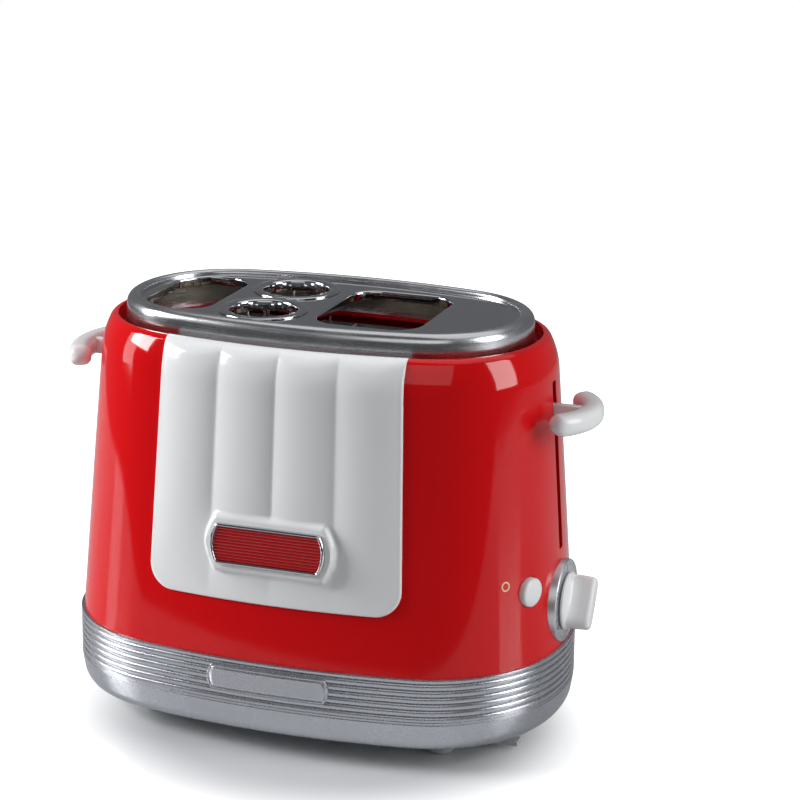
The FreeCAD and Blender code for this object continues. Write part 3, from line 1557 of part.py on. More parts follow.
heat_shield("back_heat_shield", 1)
heater_board("left_outer_board", True, 1)
heater_board("left_inner_board", True, -1)
heater_board("right_inner_board", False, 1)
heater_board("right_outer_board", True, -1)
circuit_board()

doc.recompute()
faults = []
for item in doc.Objects:
    if "Invalid" in item.State or "Error" in item.State:
        faults.append(f"{item.Name} is {item.State}")
for item in NODES:
    if item.Shape.isNull() or not item.Shape.isValid():
        faults.append(f"{item.Label} has no valid shape")
    elif not item.Shape.Solids:
        faults.append(f"{item.Label} has no solid")
if faults:
    raise RuntimeError("; ".join(faults))

os.makedirs("parts", exist_ok=True)
for item in NODES:
    item.Shape.exportStep(f"parts/{item.Label}.step")
print(len(NODES), "parts written")
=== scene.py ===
import logging
import math
from dataclasses import dataclass
from enum import Enum
from typing import Callable, Sequence

import bmesh
import bpy
import numpy as np
from mathutils import Matrix, Vector


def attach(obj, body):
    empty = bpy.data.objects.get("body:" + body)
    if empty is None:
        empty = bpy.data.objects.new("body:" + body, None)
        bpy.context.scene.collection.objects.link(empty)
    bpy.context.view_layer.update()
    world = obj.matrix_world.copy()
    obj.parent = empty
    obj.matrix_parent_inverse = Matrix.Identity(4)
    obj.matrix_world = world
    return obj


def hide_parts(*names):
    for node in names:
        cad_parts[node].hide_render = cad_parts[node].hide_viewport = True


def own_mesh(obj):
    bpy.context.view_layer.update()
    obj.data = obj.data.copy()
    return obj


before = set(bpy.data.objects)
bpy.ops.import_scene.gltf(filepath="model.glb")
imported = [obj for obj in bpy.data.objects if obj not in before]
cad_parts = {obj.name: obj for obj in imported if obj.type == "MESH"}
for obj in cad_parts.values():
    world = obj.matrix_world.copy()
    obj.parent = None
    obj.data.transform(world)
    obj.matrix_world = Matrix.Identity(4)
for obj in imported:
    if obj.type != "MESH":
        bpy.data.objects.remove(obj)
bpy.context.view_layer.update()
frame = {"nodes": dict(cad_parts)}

MM = 0.001
LOG = logging.getLogger("toaster")
Point = tuple[float, float, float]
# Nearly all of a noise texture's values lie between these two.
NOISE_LOW = 0.3
NOISE_HIGH = 0.7
# The angle in degrees above which an edge stays crisp.
CRISP = 38.0


# Materials


def linear(shade: str) -> tuple[float, float, float, float]:
    """Turns an sRGB hex value into linear colour.

    Args:
        shade: The colour, such as "#C90F17".

    Returns:
        Red, green, blue and an alpha of one.
    """
    parts = [int(shade[place : place + 2], 16) / 255 for place in (1, 3, 5)]
    bent = [part / 12.92 if part <= 0.04045 else ((part + 0.055) / 1.055) ** 2.4 for part in parts]
    return bent[0], bent[1], bent[2], 1.0


def add_node(tree: bpy.types.NodeTree, kind: str, settings: dict, inputs: dict) -> bpy.types.Node:
    """Adds a node with its settings and what goes into it.

    Args:
        tree: The node tree.
        kind: The node's type name.
        settings: Attributes of the node and their values.
        inputs: Sockets by name or place, each with a value or another node's output.

    Returns:
        The new node.
    """
    made = tree.nodes.new(kind)
    for name, value in settings.items():
        setattr(made, name, value)
    for name, value in inputs.items():
        if isinstance(value, bpy.types.NodeSocket):
            tree.links.new(value, made.inputs[name])
        else:
            made.inputs[name].default_value = value
    return made


class Grain(Enum):
    """How a surface's fine relief runs."""

    PEBBLED = (1.0, 1.0, 1.0)
    BRUSHED_ALONG = (0.02, 0.02, 1.0)
    DRAWN = (1.0, 1.0, 0.2)


@dataclass(frozen=True)
class Finish:
    """One real surface: its colour, its gloss and the relief that its making leaves.

    Pitch and depth are that relief's spacing and height in millimetres. A relief too fine to
    show is drawn coarser, and the finish's comment says so. Wander is how far the colour and
    stir is how far the roughness strays from its middle value, and patch is the spacing in
    millimetres of the broad unevenness.
    """

    name: str
    shade: str
    roughness: float
    metallic: float = 0.0
    ior: float = 1.5
    grain: Grain = Grain.PEBBLED
    pitch: float = 0.8
    depth: float = 0.002
    wander: float = 0.03
    stir: float = 0.15
    coat: float = 0.0
    coat_roughness: float = 0.03
    patch: float = 25.0

    def material(self) -> bpy.types.Material:
        """Builds the material once and gives it out after that.

        Returns:
            The material, made from nodes alone.
        """
        if self.name in bpy.data.materials:
            return bpy.data.materials[self.name]
        made = bpy.data.materials.new(self.name)
        made.use_nodes = True
        tree = made.node_tree
        tree.nodes.clear()
        colour = linear(self.shade)
        dark = tuple(part * (1 - self.wander) for part in colour[:3]) + (1.0,)
        light = tuple(min(1.0, part * (1 + self.wander)) for part in colour[:3]) + (1.0,)
        place = add_node(tree, "ShaderNodeTexCoord", {}, {})
        run = add_node(
            tree, "ShaderNodeMapping", {}, {"Vector": place.outputs["Object"], "Scale": self.grain.value}
        )
        fine = add_node(
            tree,
            "ShaderNodeTexNoise",
            {},
            {"Vector": run.outputs["Vector"], "Scale": 1 / (self.pitch * MM), "Detail": 3.0},
        )
        broad = add_node(
            tree,
            "ShaderNodeTexNoise",
            {},
            {"Vector": place.outputs["Object"], "Scale": 1 / (self.patch * MM), "Detail": 2.0},
        )
        both = add_node(
            tree,
            "ShaderNodeMix",
            {"data_type": "FLOAT"},
            {0: 0.5, 2: fine.outputs["Fac"], 3: broad.outputs["Fac"]},
        )
        tint = add_node(
            tree, "ShaderNodeMix", {"data_type": "RGBA"}, {0: both.outputs[0], 6: dark, 7: light}
        )
        rough = add_node(
            tree,
            "ShaderNodeMapRange",
            {},
            {
                "Value": both.outputs[0],
                "From Min": NOISE_LOW,
                "From Max": NOISE_HIGH,
                "To Min": self.roughness * (1 - self.stir),
                "To Max": self.roughness * (1 + self.stir),
            },
        )
        relief = add_node(
            tree,
            "ShaderNodeBump",
            {},
            {"Height": fine.outputs["Fac"], "Strength": 1.0, "Distance": self.depth * MM},
        )
        inputs = {
            "Base Color": tint.outputs[2],
            "Roughness": rough.outputs["Result"],
            "Normal": relief.outputs["Normal"],
            "Metallic": self.metallic,
        }
        if self.metallic < 1:
            inputs["IOR"] = self.ior
        if self.coat:
            inputs["Coat Weight"] = self.coat
            inputs["Coat Roughness"] = self.coat_roughness
        shader = add_node(tree, "ShaderNodeBsdfPrincipled", {}, inputs)
        add_node(tree, "ShaderNodeOutputMaterial", {}, {"Surface": shader.outputs["BSDF"]})
        return made


# Gloss ABS, moulded and clear lacquered: deep red with a sharp clear reflection over it. What is left
# of the moulding's flow are slow waves 9 mm apart.
RED_ABS = Finish("red_lacquered_abs", "#CC0A10", 0.07, ior=1.45, pitch=9.0, depth=0.004, wander=0.02)
# Gloss ABS, moulded: a clean neutral white with soft edges to its reflections.
WHITE_ABS = Finish("white_moulded_abs", "#E4E5E6", 0.18, ior=1.5, pitch=5.0, depth=0.004, wander=0.01)
# Stainless steel, deep drawn and satin brushed round: streaks that stretch the lights sideways. Real
# brushing, of about 0.1 mm, is too fine to show, so it is drawn at 0.5 mm.
SATIN_STEEL = Finish("satin_stainless_steel", "#CECFD2", 0.25, metallic=1.0, grain=Grain.BRUSHED_ALONG,
                     pitch=0.5, depth=0.0012, wander=0.06, stir=0.3)
# Stainless steel, pressed and mirror polished: clear reflections with a faint haze.
MIRROR_STEEL = Finish("mirror_stainless_steel", "#C9C9CD", 0.07, metallic=1.0, pitch=9.0, depth=0.006,
                      wander=0.03, stir=0.3)
# Zamak, chromium plated: bright, with thin dark edges.
CHROME = Finish("chromium_plate", "#D2D3D6", 0.08, metallic=1.0, pitch=4.0, depth=0.002, wander=0.02)
# ABS, moulded and sprayed with aluminium flake lacquer: a soft pale glitter. Real flakes, of a few
# hundredths of a millimetre, are too fine to show, so they are drawn at 0.5 mm.
SILVER_LACQUER = Finish("aluminium_flake_lacquer", "#BDBFC5", 0.27, metallic=0.95, ior=1.5, pitch=0.5,
                        depth=0.003, wander=0.07, stir=0.25)
# The same lacquer, painted brighter for the dial to stand in for the light that falls on it from the right.
# Its flakes are drawn at 0.4 mm.
DIAL_LACQUER_PAINTED_LIGHTER = Finish("fine_flake_lacquer_painted_lighter", "#D3D5D9", 0.34, metallic=0.9, ior=1.5, pitch=0.4,
                      depth=0.002, wander=0.04, stir=0.2)
# Acrylic, tinted and ribbed: a deeper wet-looking red.
RED_ACRYLIC = Finish("red_tinted_acrylic", "#A80C12", 0.12, ior=1.49, pitch=3.0, depth=0.002, wander=0.05,
                     coat=1.0)
# Steel, zinc plated: dull grey with a faint bloom.
ZINC_STEEL = Finish("zinc_plated_steel", "#8E9194", 0.42, metallic=1.0, pitch=3.0, depth=0.004, wander=0.12)
# Steel wire, drawn and nickel plated: bright lines. The marks of drawing are finer than the 0.4 mm here.
NICKEL_WIRE = Finish("nickel_plated_wire", "#B9BABC", 0.2, metallic=1.0, grain=Grain.DRAWN, pitch=0.4,
                     depth=0.001, wander=0.05)
# Spring steel, oil tempered: darker and a little blue.
SPRING_STEEL = Finish("tempered_spring_steel", "#7D8187", 0.3, metallic=1.0, pitch=0.5, depth=0.001)
# Polyamide, glass filled and moulded: dull grey with a fine tooth, drawn coarser than it is to show.
GREY_POLYAMIDE = Finish("grey_glass_filled_polyamide", "#B9BBBD", 0.5, ior=1.53, pitch=0.5, depth=0.01)
# Thermoplastic rubber, moulded matt: pale grey, without shine.
GREY_RUBBER = Finish("grey_moulded_rubber", "#B4B6B8", 0.62, ior=1.51, pitch=0.4, depth=0.015)
# Rubber, moulded matt black.
BLACK_RUBBER = Finish("black_moulded_rubber", "#1B1B1C", 0.6, ior=1.52, pitch=0.4, depth=0.015)
# Phenolic, pressed: near black with a low shine.
BLACK_PHENOLIC = Finish("black_pressed_phenolic", "#1D1C1B", 0.38, ior=1.6, pitch=0.6, depth=0.006)
# Soft iron core under a copper winding's tape: dull and dark.
MAGNET_IRON = Finish("blackened_magnet_iron", "#3A3634", 0.5, metallic=0.8, pitch=1.2, depth=0.01)
# Mica, bonded from flakes: pale straw grey with a layered glitter.
MICA = Finish("bonded_mica_board", "#B7A98C", 0.45, ior=1.58, pitch=2.5, depth=0.02, wander=0.22, stir=0.3)
# Glass epoxy board with solder mask: bottle green and glossy.
GREEN_BOARD = Finish("green_masked_epoxy_board", "#1E5B34", 0.3, ior=1.55, pitch=0.8, depth=0.006)
# Pad printing ink on gloss plastic, cream.
CREAM_INK = Finish("cream_pad_ink", "#EBD9AE", 0.3, ior=1.5, pitch=0.6, depth=0.002)
# Pad printing ink on silver lacquer, dark grey.
DARK_INK = Finish("dark_pad_ink", "#2B2C2E", 0.4, ior=1.5, pitch=0.6, depth=0.002)


# Mesh work


def round_turn(count: int) -> list[float]:
    """The angles of a full turn in equal steps."""
    return [2 * math.pi * step / count for step in range(count)]


def quarter_turn(count: int) -> list[float]:
    """The angles up a quarter turn in equal steps, without its start."""
    return [math.radians(90 * step / count) for step in range(1, count + 1)]


class Draft:
    """Points in millimetres and faces over them, gathered for one mesh."""

    def __init__(self) -> None:
        """Starts an empty draft."""
        self.points: list[Point] = []
        self.faces: list[tuple[int, ...]] = []

    def ring(self, points: Sequence[Point]) -> list[int]:
        """Adds points and returns their places in the draft.

        Args:
            points: The ring's points in order.

        Returns:
            Their places in the draft.
        """
        start = len(self.points)
        self.points.extend(tuple(float(part) for part in point) for point in points)
        return list(range(start, len(self.points)))

    def bridge(self, first: Sequence[int], second: Sequence[int], closed: bool = True) -> None:
        """Joins two rings of the same count with a band of faces.

        Args:
            first: One ring.
            second: The other ring.
            closed: Whether the rings close on themselves.
        """
        count = len(first)
        for place in range(count if closed else count - 1):
            after = (place + 1) % count
            self.faces.append((first[place], first[after], second[after], second[place]))

    def skin(self, rings: Sequence[Sequence[int]], closed: bool = True, loop: bool = False) -> None:
        """Joins rings one after another.

        Args:
            rings: The rings in order.
            closed: Whether each ring closes on itself.
            loop: Whether the last ring joins the first.
        """
        for first, second in zip(rings, rings[1:]):
            self.bridge(first, second, closed)
        if loop:
            self.bridge(rings[-1], rings[0], closed)

    def cap(self, ring: Sequence[int]) -> None:
        """Closes a flat ring with one face."""
        self.faces.append(tuple(ring))

    def stack(self, rings: Sequence[Sequence[Point]]) -> None:
        """Skins rings of points and caps both ends.

        Args:
            rings: Each ring's points, from one end to the other.
        """
        places = [self.ring(points) for points in rings]
        self.skin(places)
        self.cap(places[0])
        self.cap(places[-1])

    def turn(
        self, profile: Sequence[tuple[float, float]], origin: Point, axis: Point, count: int = 96,
        loop: bool = False,
    ) -> None:
        """Turns a profile about an axis, as on a lathe.

        Args:
            profile: Pairs of a radius and a place along the axis.
            origin: Where the axis starts.
            axis: The axis's direction.
            count: Points round each ring.
            loop: Whether the profile closes on itself, as a ring's does.
        """
        way = Vector(axis).normalized()
        side = way.orthogonal().normalized()
        other = way.cross(side)
        rings = []
        for radius, along in profile:
            points = []
            for angle in round_turn(count):
                spot = Vector(origin) + way * along
                spot += (side * math.cos(angle) + other * math.sin(angle)) * radius
                points.append(tuple(spot))
            rings.append(self.ring(points))
        self.skin(rings, loop=loop)
        if not loop:
            self.cap(rings[0])
            self.cap(rings[-1])

    def tube(self, path: Sequence[Vector], radius: float, sides: int = 10) -> None:
        """Runs a round wire with domed ends along a path.

        Args:
            path: Points along the wire's middle.
            radius: The wire's radius.
            sides: Points round the wire.
        """
        reach = [(path[1] - path[0]).normalized(), (path[-1] - path[-2]).normalized()]
        spots = [path[0] - reach[0] * radius * 0.9, path[0] - reach[0] * radius * 0.6] + list(path)
        spots += [path[-1] + reach[1] * radius * 0.6, path[-1] + reach[1] * radius * 0.9]
        widths = [radius * 0.4, radius * 0.8] + [radius] * len(path) + [radius * 0.8, radius * 0.4]
        side = (spots[1] - spots[0]).normalized().orthogonal().normalized()
        rings = []
        for place, spot in enumerate(spots):
            before = spots[max(place - 1, 0)]
            after = spots[min(place + 1, len(spots) - 1)]
            way = (after - before).normalized()
            side = (side - way * side.dot(way)).normalized()
            other = way.cross(side)
            points = []
            for angle in round_turn(sides):
                lift = side * math.cos(angle) + other * math.sin(angle)
                points.append(tuple(spot + lift * widths[place]))
            rings.append(points)
        self.stack(rings)

    def relief(
        self, rows: Sequence[float], half: Callable[[float], float], edge: Sequence[float], pitch: float,
        place: Callable[[float, float, bool], Point],
    ) -> None:
        """Builds a closed sheet whose front is a height field over rows.

        Args:
            rows: Each row's place up the sheet.
            half: The sheet's half width at a row.
            edge: Distances in from each side where columns stand close together.
            pitch: Distance between the other columns, at the widest.
            place: Gives the point for a place across, a place up, and whether it is the front.
        """
        inner = max(half(row) for row in rows) - edge[-1]
        steps = max(2, round(2 * inner / pitch))
        sheets = []
        for front in (True, False):
            sheet = []
            for row in rows:
                reach = half(row)
                across = [-reach + gap for gap in edge[:-1]]
                span = reach - edge[-1]
                across += [-span + 2 * span * step / steps for step in range(steps + 1)]
                across += [reach - gap for gap in reversed(edge[:-1])]
                sheet.append(self.ring([place(x, row, front) for x in across]))
            self.skin(sheet, closed=False)
            sheets.append(sheet)
        outline = []
        for sheet in sheets:
            loop = list(sheet[0]) + [row[-1] for row in sheet[1:]]
            loop += list(reversed(sheet[-1]))[1:] + [row[0] for row in reversed(sheet[1:-1])]
            outline.append(loop)
        self.bridge(outline[0], outline[1])

    def make(
        self, name: str, sharp: float = CRISP, fills: Sequence[Sequence[list[int]]] = ()
    ) -> bpy.types.Object:
        """Turns the draft into an object with smooth faces and crisp edges.

        Args:
            name: The object's name.
            sharp: The angle in degrees above which an edge stays crisp.
            fills: Flat areas to fill with triangles, each an outer ring and the rings of its holes.

        Returns:
            The new object, linked to the scene.
        """
        mesh = bpy.data.meshes.new(name)
        mesh.from_pydata([tuple(part * MM for part in point) for point in self.points], [], self.faces)
        work = bmesh.new()
        work.from_mesh(mesh)
        work.verts.ensure_lookup_table()
        for loops in fills:
            border = []
            for loop in loops:
                for start, end in zip(loop, loop[1:] + loop[:1]):
                    pair = (work.verts[start], work.verts[end])
                    border.append(work.edges.get(pair) or work.edges.new(pair))
            bmesh.ops.triangle_fill(work, use_beauty=True, edges=border)
        bmesh.ops.remove_doubles(work, verts=work.verts, dist=1e-7)
        bmesh.ops.recalc_face_normals(work, faces=work.faces)
        work.to_mesh(mesh)
        work.free()
        mesh.shade_smooth()
        mesh.set_sharp_from_angle(angle=math.radians(sharp))
        piece = bpy.data.objects.new(name, mesh)
        bpy.context.scene.collection.objects.link(piece)
        return piece


def carve(piece: bpy.types.Object, tools: Sequence[bpy.types.Object], way: str = "DIFFERENCE") -> None:
    """Cuts tools out of a piece, or keeps what they share with it, and removes the tools.

    Args:
        piece: The piece that is cut.
        tools: The cutters, which are used up.
        way: What the cutters do to the piece.
    """
    for tool in tools:
        cut = piece.modifiers.new("cut", "BOOLEAN")
        cut.operation = way
        cut.solver = "EXACT"
        cut.object = tool
    bpy.context.view_layer.update()
    graph = bpy.context.evaluated_depsgraph_get()
    mesh = bpy.data.meshes.new_from_object(piece.evaluated_get(graph))
    piece.modifiers.clear()
    piece.data = mesh
    for tool in tools:
        bpy.data.objects.remove(tool)
    mesh.shade_smooth()
    mesh.set_sharp_from_angle(angle=math.radians(CRISP))


def steer_normals(piece: bpy.types.Object, beyond: Callable[..., np.ndarray], reach: float = 0.03) -> None:
    """Sets the normals on a known surface from its own formula, so that cuts leave no dents.

    Args:
        piece: The piece to dress.
        beyond: Signed distance in millimetres from the surface for arrays of x, y and z.
        reach: How near the surface a point has to lie, in millimetres.
    """
    mesh = piece.data
    corners = np.zeros(len(mesh.loops) * 3, np.float32)
    mesh.corner_normals.foreach_get("vector", corners)
    corners = corners.reshape(-1, 3)
    spots = np.zeros(len(mesh.vertices) * 3, np.float32)
    mesh.vertices.foreach_get("co", spots)
    owner = np.zeros(len(mesh.loops), np.int32)
    mesh.loops.foreach_get("vertex_index", owner)
    spots = spots.reshape(-1, 3).astype(float)[owner] / MM
    faces = np.zeros(len(mesh.polygons) * 3, np.float32)
    mesh.polygons.foreach_get("normal", faces)
    totals = np.zeros(len(mesh.polygons), np.int32)
    mesh.polygons.foreach_get("loop_total", totals)
    faces = np.repeat(faces.reshape(-1, 3), totals, axis=0)
    slope = np.zeros_like(spots)
    nudge = 0.02
    aligned = 0.8
    for part in range(3):
        shift = np.zeros(3)
        shift[part] = nudge
        ahead = (spots + shift).T
        behind = (spots - shift).T
        slope[:, part] = beyond(*ahead) - beyond(*behind)
    slope /= np.maximum(np.linalg.norm(slope, axis=1), 1e-9)[:, None]
    near = np.abs(beyond(*spots.T)) < reach
    facing = np.einsum("ij,ij->i", slope, faces) > aligned
    corners[near & facing] = slope[near & facing]
    mesh.normals_split_custom_set(corners.tolist())


def settle(
    piece: bpy.types.Object, body: str, finish: Finish, stands_for: Sequence[str] = ()
) -> bpy.types.Object:
    """Gives a piece its finish and its place in the moving frame, and logs it.

    Args:
        piece: The piece, already in place.
        body: The body that it rides on.
        finish: Its surface.
        stands_for: The CAD nodes that it replaces.

    Returns:
        The same piece.
    """
    piece.data.materials.clear()
    piece.data.materials.append(finish.material())
    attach(piece, body)
    if stands_for:
        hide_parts(*stands_for)
    LOG.info("%s rides on %s in %s", piece.name, body, finish.name)
    return piece


def rounded_bar(half_a: float, half_b: float, radius: float, count: int = 8) -> list[tuple[float, float]]:
    """The outline of a rectangle with round corners, count steps to a corner.

    Args:
        half_a: Half its length.
        half_b: Half its width.
        radius: The corners' radius.
        count: Steps in each corner.

    Returns:
        The points in order.
    """
    outline = []
    for quarter, (sign_a, sign_b) in enumerate(((1, -1), (1, 1), (-1, 1), (-1, -1))):
        centre = (sign_a * (half_a - radius), sign_b * (half_b - radius))
        for step in range(count + 1):
            angle = math.radians(90 * (quarter - 1) + 90 * step / count)
            outline.append((centre[0] + radius * math.cos(angle), centre[1] + radius * math.sin(angle)))
    return outline


def bowed_bar(
    half_length: float, half_width: float, bow: float, radius: float, inset: float = 0.0
) -> list[tuple[float, float]]:
    """The outline of a bar with straight sides, bowed ends and round corners.

    Args:
        half_length: Half its length, to the middle of a bowed end.
        half_width: Half its width.
        bow: How far the ends bow out.
        radius: Radius of the corners.
        inset: How far the outline is moved in.

    Returns:
        Points in order round the bar.
    """
    least_corner = 0.15
    end = (half_width**2 + bow**2) / (2 * bow)
    end_x = half_length - end
    corner = max(radius - inset, least_corner)
    run = end - inset - corner
    side = half_width - inset - corner
    corner_x = end_x + math.sqrt(run**2 - side**2)
    first = math.atan2(-side, corner_x - end_x)
    quarter = []
    for step in range(9):
        angle = -math.pi / 2 + (first + math.pi / 2) * step / 8
        quarter.append((corner_x + corner * math.cos(angle), -side + corner * math.sin(angle)))
    for step in range(1, 7):
        angle = first - first * step / 6
        quarter.append((end_x + (end - inset) * math.cos(angle), (end - inset) * math.sin(angle)))
    right = quarter + [(x, -y) for x, y in reversed(quarter[:-1])]
    return right + [(-x, y) for x, y in reversed(right)]


# The body's outline


@dataclass(frozen=True)
class Plan:
    """The body's outline at one level: shallow front arcs, end arcs and corner arcs."""

    half_length: float
    half_width: float
    front: float
    end: float
    corner: float

    def inset(self, depth: float) -> "Plan":
        """The same outline moved in.

        Args:
            depth: How far in.

        Returns:
            The smaller outline.
        """
        return Plan(
            self.half_length - depth, self.half_width - depth, self.front - depth, self.end - depth,
            self.corner - depth,
        )

    def toward(self, other: "Plan", share: float) -> "Plan":
        """The outline at a share of the way to another.

        Args:
            other: The outline at the far end of the way.
            share: 0 for this outline and 1 for the other.

        Returns:
            The outline between them.
        """
        return Plan(
            self.half_length + share * (other.half_length - self.half_length),
            self.half_width + share * (other.half_width - self.half_width),
            self.front + share * (other.front - self.front),
            self.end + share * (other.end - self.end),
            self.corner + share * (other.corner - self.corner),
        )

    def centres(self) -> tuple[float, float, float, float]:
        """The front arc's centre y, the end arc's centre x, and the corner arc's centre, for +X and -Y.

        Returns:
            The four numbers in that order.
        """
        front_y = self.front - self.half_width
        end_x = self.half_length - self.end
        long = self.front - self.corner
        short = self.end - self.corner
        gap = np.hypot(end_x, front_y)
        along = (long**2 - short**2 + gap**2) / (2 * gap)
        side = np.sqrt(long**2 - along**2)
        across = end_x / gap
        down = -front_y / gap
        x = along * across - side * down
        y = front_y + along * down + side * across
        other_x = along * across + side * down
        other_y = front_y + along * down - side * across
        swap = (y > 0) | (x < end_x)
        return front_y, end_x, np.where(swap, other_x, x), np.where(swap, other_y, y)

    def outline(self, counts: tuple[int, int, int] = (30, 30, 20)) -> list[tuple[float, float]]:
        """Points round the outline, with counts for a quarter's front, corner and end.

        Args:
            counts: Steps in a quarter's front, corner and end.

        Returns:
            The points in order.
        """
        front_y, end_x, x, y = (float(part) for part in self.centres())
        first = math.atan2(y - front_y, x)
        last = math.atan2(y, x - end_x)
        arcs = (
            (0.0, front_y, self.front, -math.pi / 2, first, counts[0]),
            (x, y, self.corner, first, last, counts[1]),
            (end_x, 0.0, self.end, last, 0.0, counts[2]),
        )
        quarter = [(0.0, -self.half_width)]
        for centre_x, centre_y, radius, start, stop, count in arcs:
            for step in range(1, count + 1):
                angle = start + (stop - start) * step / count
                quarter.append((centre_x + radius * math.cos(angle), centre_y + radius * math.sin(angle)))
        right = quarter + [(px, -py) for px, py in reversed(quarter[:-1])]
        return right + [(-px, py) for px, py in reversed(right[1:-1])]

    def beyond(self, x: np.ndarray, y: np.ndarray) -> np.ndarray:
        """Signed distance out of the outline.

        Args:
            x: Places along the length.
            y: Places across the depth.

        Returns:
            The distances, which are negative inside.
        """
        front_y, end_x, corner_x, corner_y = self.centres()
        x = np.abs(x)
        y = -np.abs(y)
        angle = np.arctan2(y - corner_y, x - corner_x)
        first = np.arctan2(corner_y - front_y, corner_x)
        last = np.arctan2(corner_y, corner_x - end_x)
        corner = np.hypot(x - corner_x, y - corner_y) - self.corner
        front = np.hypot(x, y - front_y) - self.front
        end = np.hypot(x - end_x, y) - self.end
        return np.where(angle < first, front, np.where(angle > last, end, corner))


LOW = Plan(135.0, 86.8, 425.0, 106.0, 71.6)
TOP = Plan(123.0, 73.2, 345.0, 88.0, 66.4)


def band(draft: Draft, sections: Sequence[tuple[Plan, float]], loop: bool = True) -> None:
    """Skins the body's outline through sections of a plan and a height."""
    rings = [draft.ring([(x, y, z) for x, y in plan.outline()]) for plan, z in sections]
    draft.skin(rings, loop=loop)


@dataclass
class Shell:
    """The red body: a tapering wall with a rounded lip, a ledge for the tray and its openings."""

    bottom: float = 52.65
    high: float = 215.35
    lip_round: float = 2.4
    lip_width: float = 7.4
    shoulder_tall: float = 18.0
    shoulder_in: float = 4.4
    ledge: float = 206.0
    ledge_thick: float = 2.4
    ledge_inset: float = 18.0
    wall: float = 2.6
    slot_low: float = 104.0
    slot_high: float = 194.5
    slot_width: float = 6.0
    slot_corner: float = 1.2
    slot_run: tuple = (112.0, 145.0)
    dial_hole_at: float = 110.0
    hole_run: float = 35.0
    lip_edge: float = 0.2
    under_ledge: float = 8.0

    def shoulder(self, z: float) -> float:
        """How far the wall turns in at a height, near its top."""
        return self.shoulder_in * np.maximum(0.0, 1 - (self.high - z) / self.shoulder_tall) ** 2

    def level(self, z: float) -> Plan:
        """The wall's outside at a height."""
        share = (z - self.bottom) / (self.high - self.bottom)
        return LOW.toward(TOP, share).inset(self.shoulder(z))

    def beyond(self, x: np.ndarray, y: np.ndarray, z: np.ndarray) -> np.ndarray:
        """Signed distance out of the shell's outside, lip included.

        Args:
            x: Places along the length.
            y: Places across the depth.
            z: Heights.

        Returns:
            The distances, which are negative inside.
        """
        out = self.level(z).beyond(x, y)
        start = self.high - self.lip_round
        rolled = np.hypot(np.maximum(out + self.lip_round, 0), np.maximum(z - start, 0)) - self.lip_round
        return np.where(z > start, rolled, out)

    def front_point(self, x: float, z: float, proud: float) -> Point:
        """A point on the front arc at a place across and a height, stood out by proud."""
        plan = self.level(z).inset(-proud)
        return x, plan.front - plan.half_width - math.sqrt(plan.front**2 - x**2), z

    def sections(self) -> list[tuple[Plan, float]]:
        """The closed section from the foot up the outside, over the lip and down the inside.

        Returns:
            Pairs of an outline and its height.
        """
        start = self.high - self.lip_round
        foot = self.high - self.shoulder_tall
        made = []
        for step in range(16):
            z = self.bottom + (foot - self.bottom) * step / 16
            made.append((self.level(z), z))
        for step in range(11):
            z = foot + (start - foot) * step / 10
            made.append((self.level(z), z))
        for angle in quarter_turn(8):
            z = start + self.lip_round * math.sin(angle)
            made.append((self.level(z).inset(self.lip_round * (1 - math.cos(angle))), z))
        for inset, z in (
            (self.lip_width - self.lip_edge, self.high), (self.lip_width, self.high - self.lip_edge),
            (self.lip_width, self.ledge), (self.ledge_inset, self.ledge),
            (self.ledge_inset, self.ledge - self.ledge_thick), (self.wall + 2, self.ledge - self.ledge_thick),
        ):
            made.append((TOP.inset(inset), z))
        low = self.ledge - self.under_ledge
        made.append((self.level(low).inset(self.wall), low))
        made.append((LOW.inset(self.wall), self.bottom))
        return made

    def slot_tool(self, sign: int) -> bpy.types.Object:
        """The cutter for one lever slot, with round ends.

        Args:
            sign: +1 for the right end and -1 for the left.

        Returns:
            The cutter.
        """
        draft = Draft()
        middle = (self.slot_low + self.slot_high) / 2
        outline = rounded_bar(self.slot_width / 2, (self.slot_high - self.slot_low) / 2, self.slot_corner)
        draft.stack([[(sign * x, y, middle + z) for y, z in outline] for x in self.slot_run])
        return draft.make("slot_tool")

    def build(self, dial: "Dial", button: "Button") -> None:
        """Builds the shell, cut for the levers, the dial and the button.

        Args:
            dial: The dial that its hole is cut for.
            button: The button that its hole is cut for.
        """
        draft = Draft()
        band(draft, self.sections())
        piece = draft.make("shell")
        holes = []
        way = button.way()
        for origin, axis, radius in (
            ((self.dial_hole_at, 0.0, dial.height), (1, 0, 0), dial.spigot + dial.play),
            (tuple(button.foot() - way * button.sunk), tuple(way), button.radius + button.play),
        ):
            tool = Draft()
            tool.turn([(radius, 0.0), (radius, self.hole_run)], origin, axis, 72)
            holes.append(tool.make("hole_tool"))
        carve(piece, [self.slot_tool(1), self.slot_tool(-1)] + holes)
        steer_normals(piece, self.beyond)
        settle(piece, "toaster", RED_ABS, ["outer_shell"])


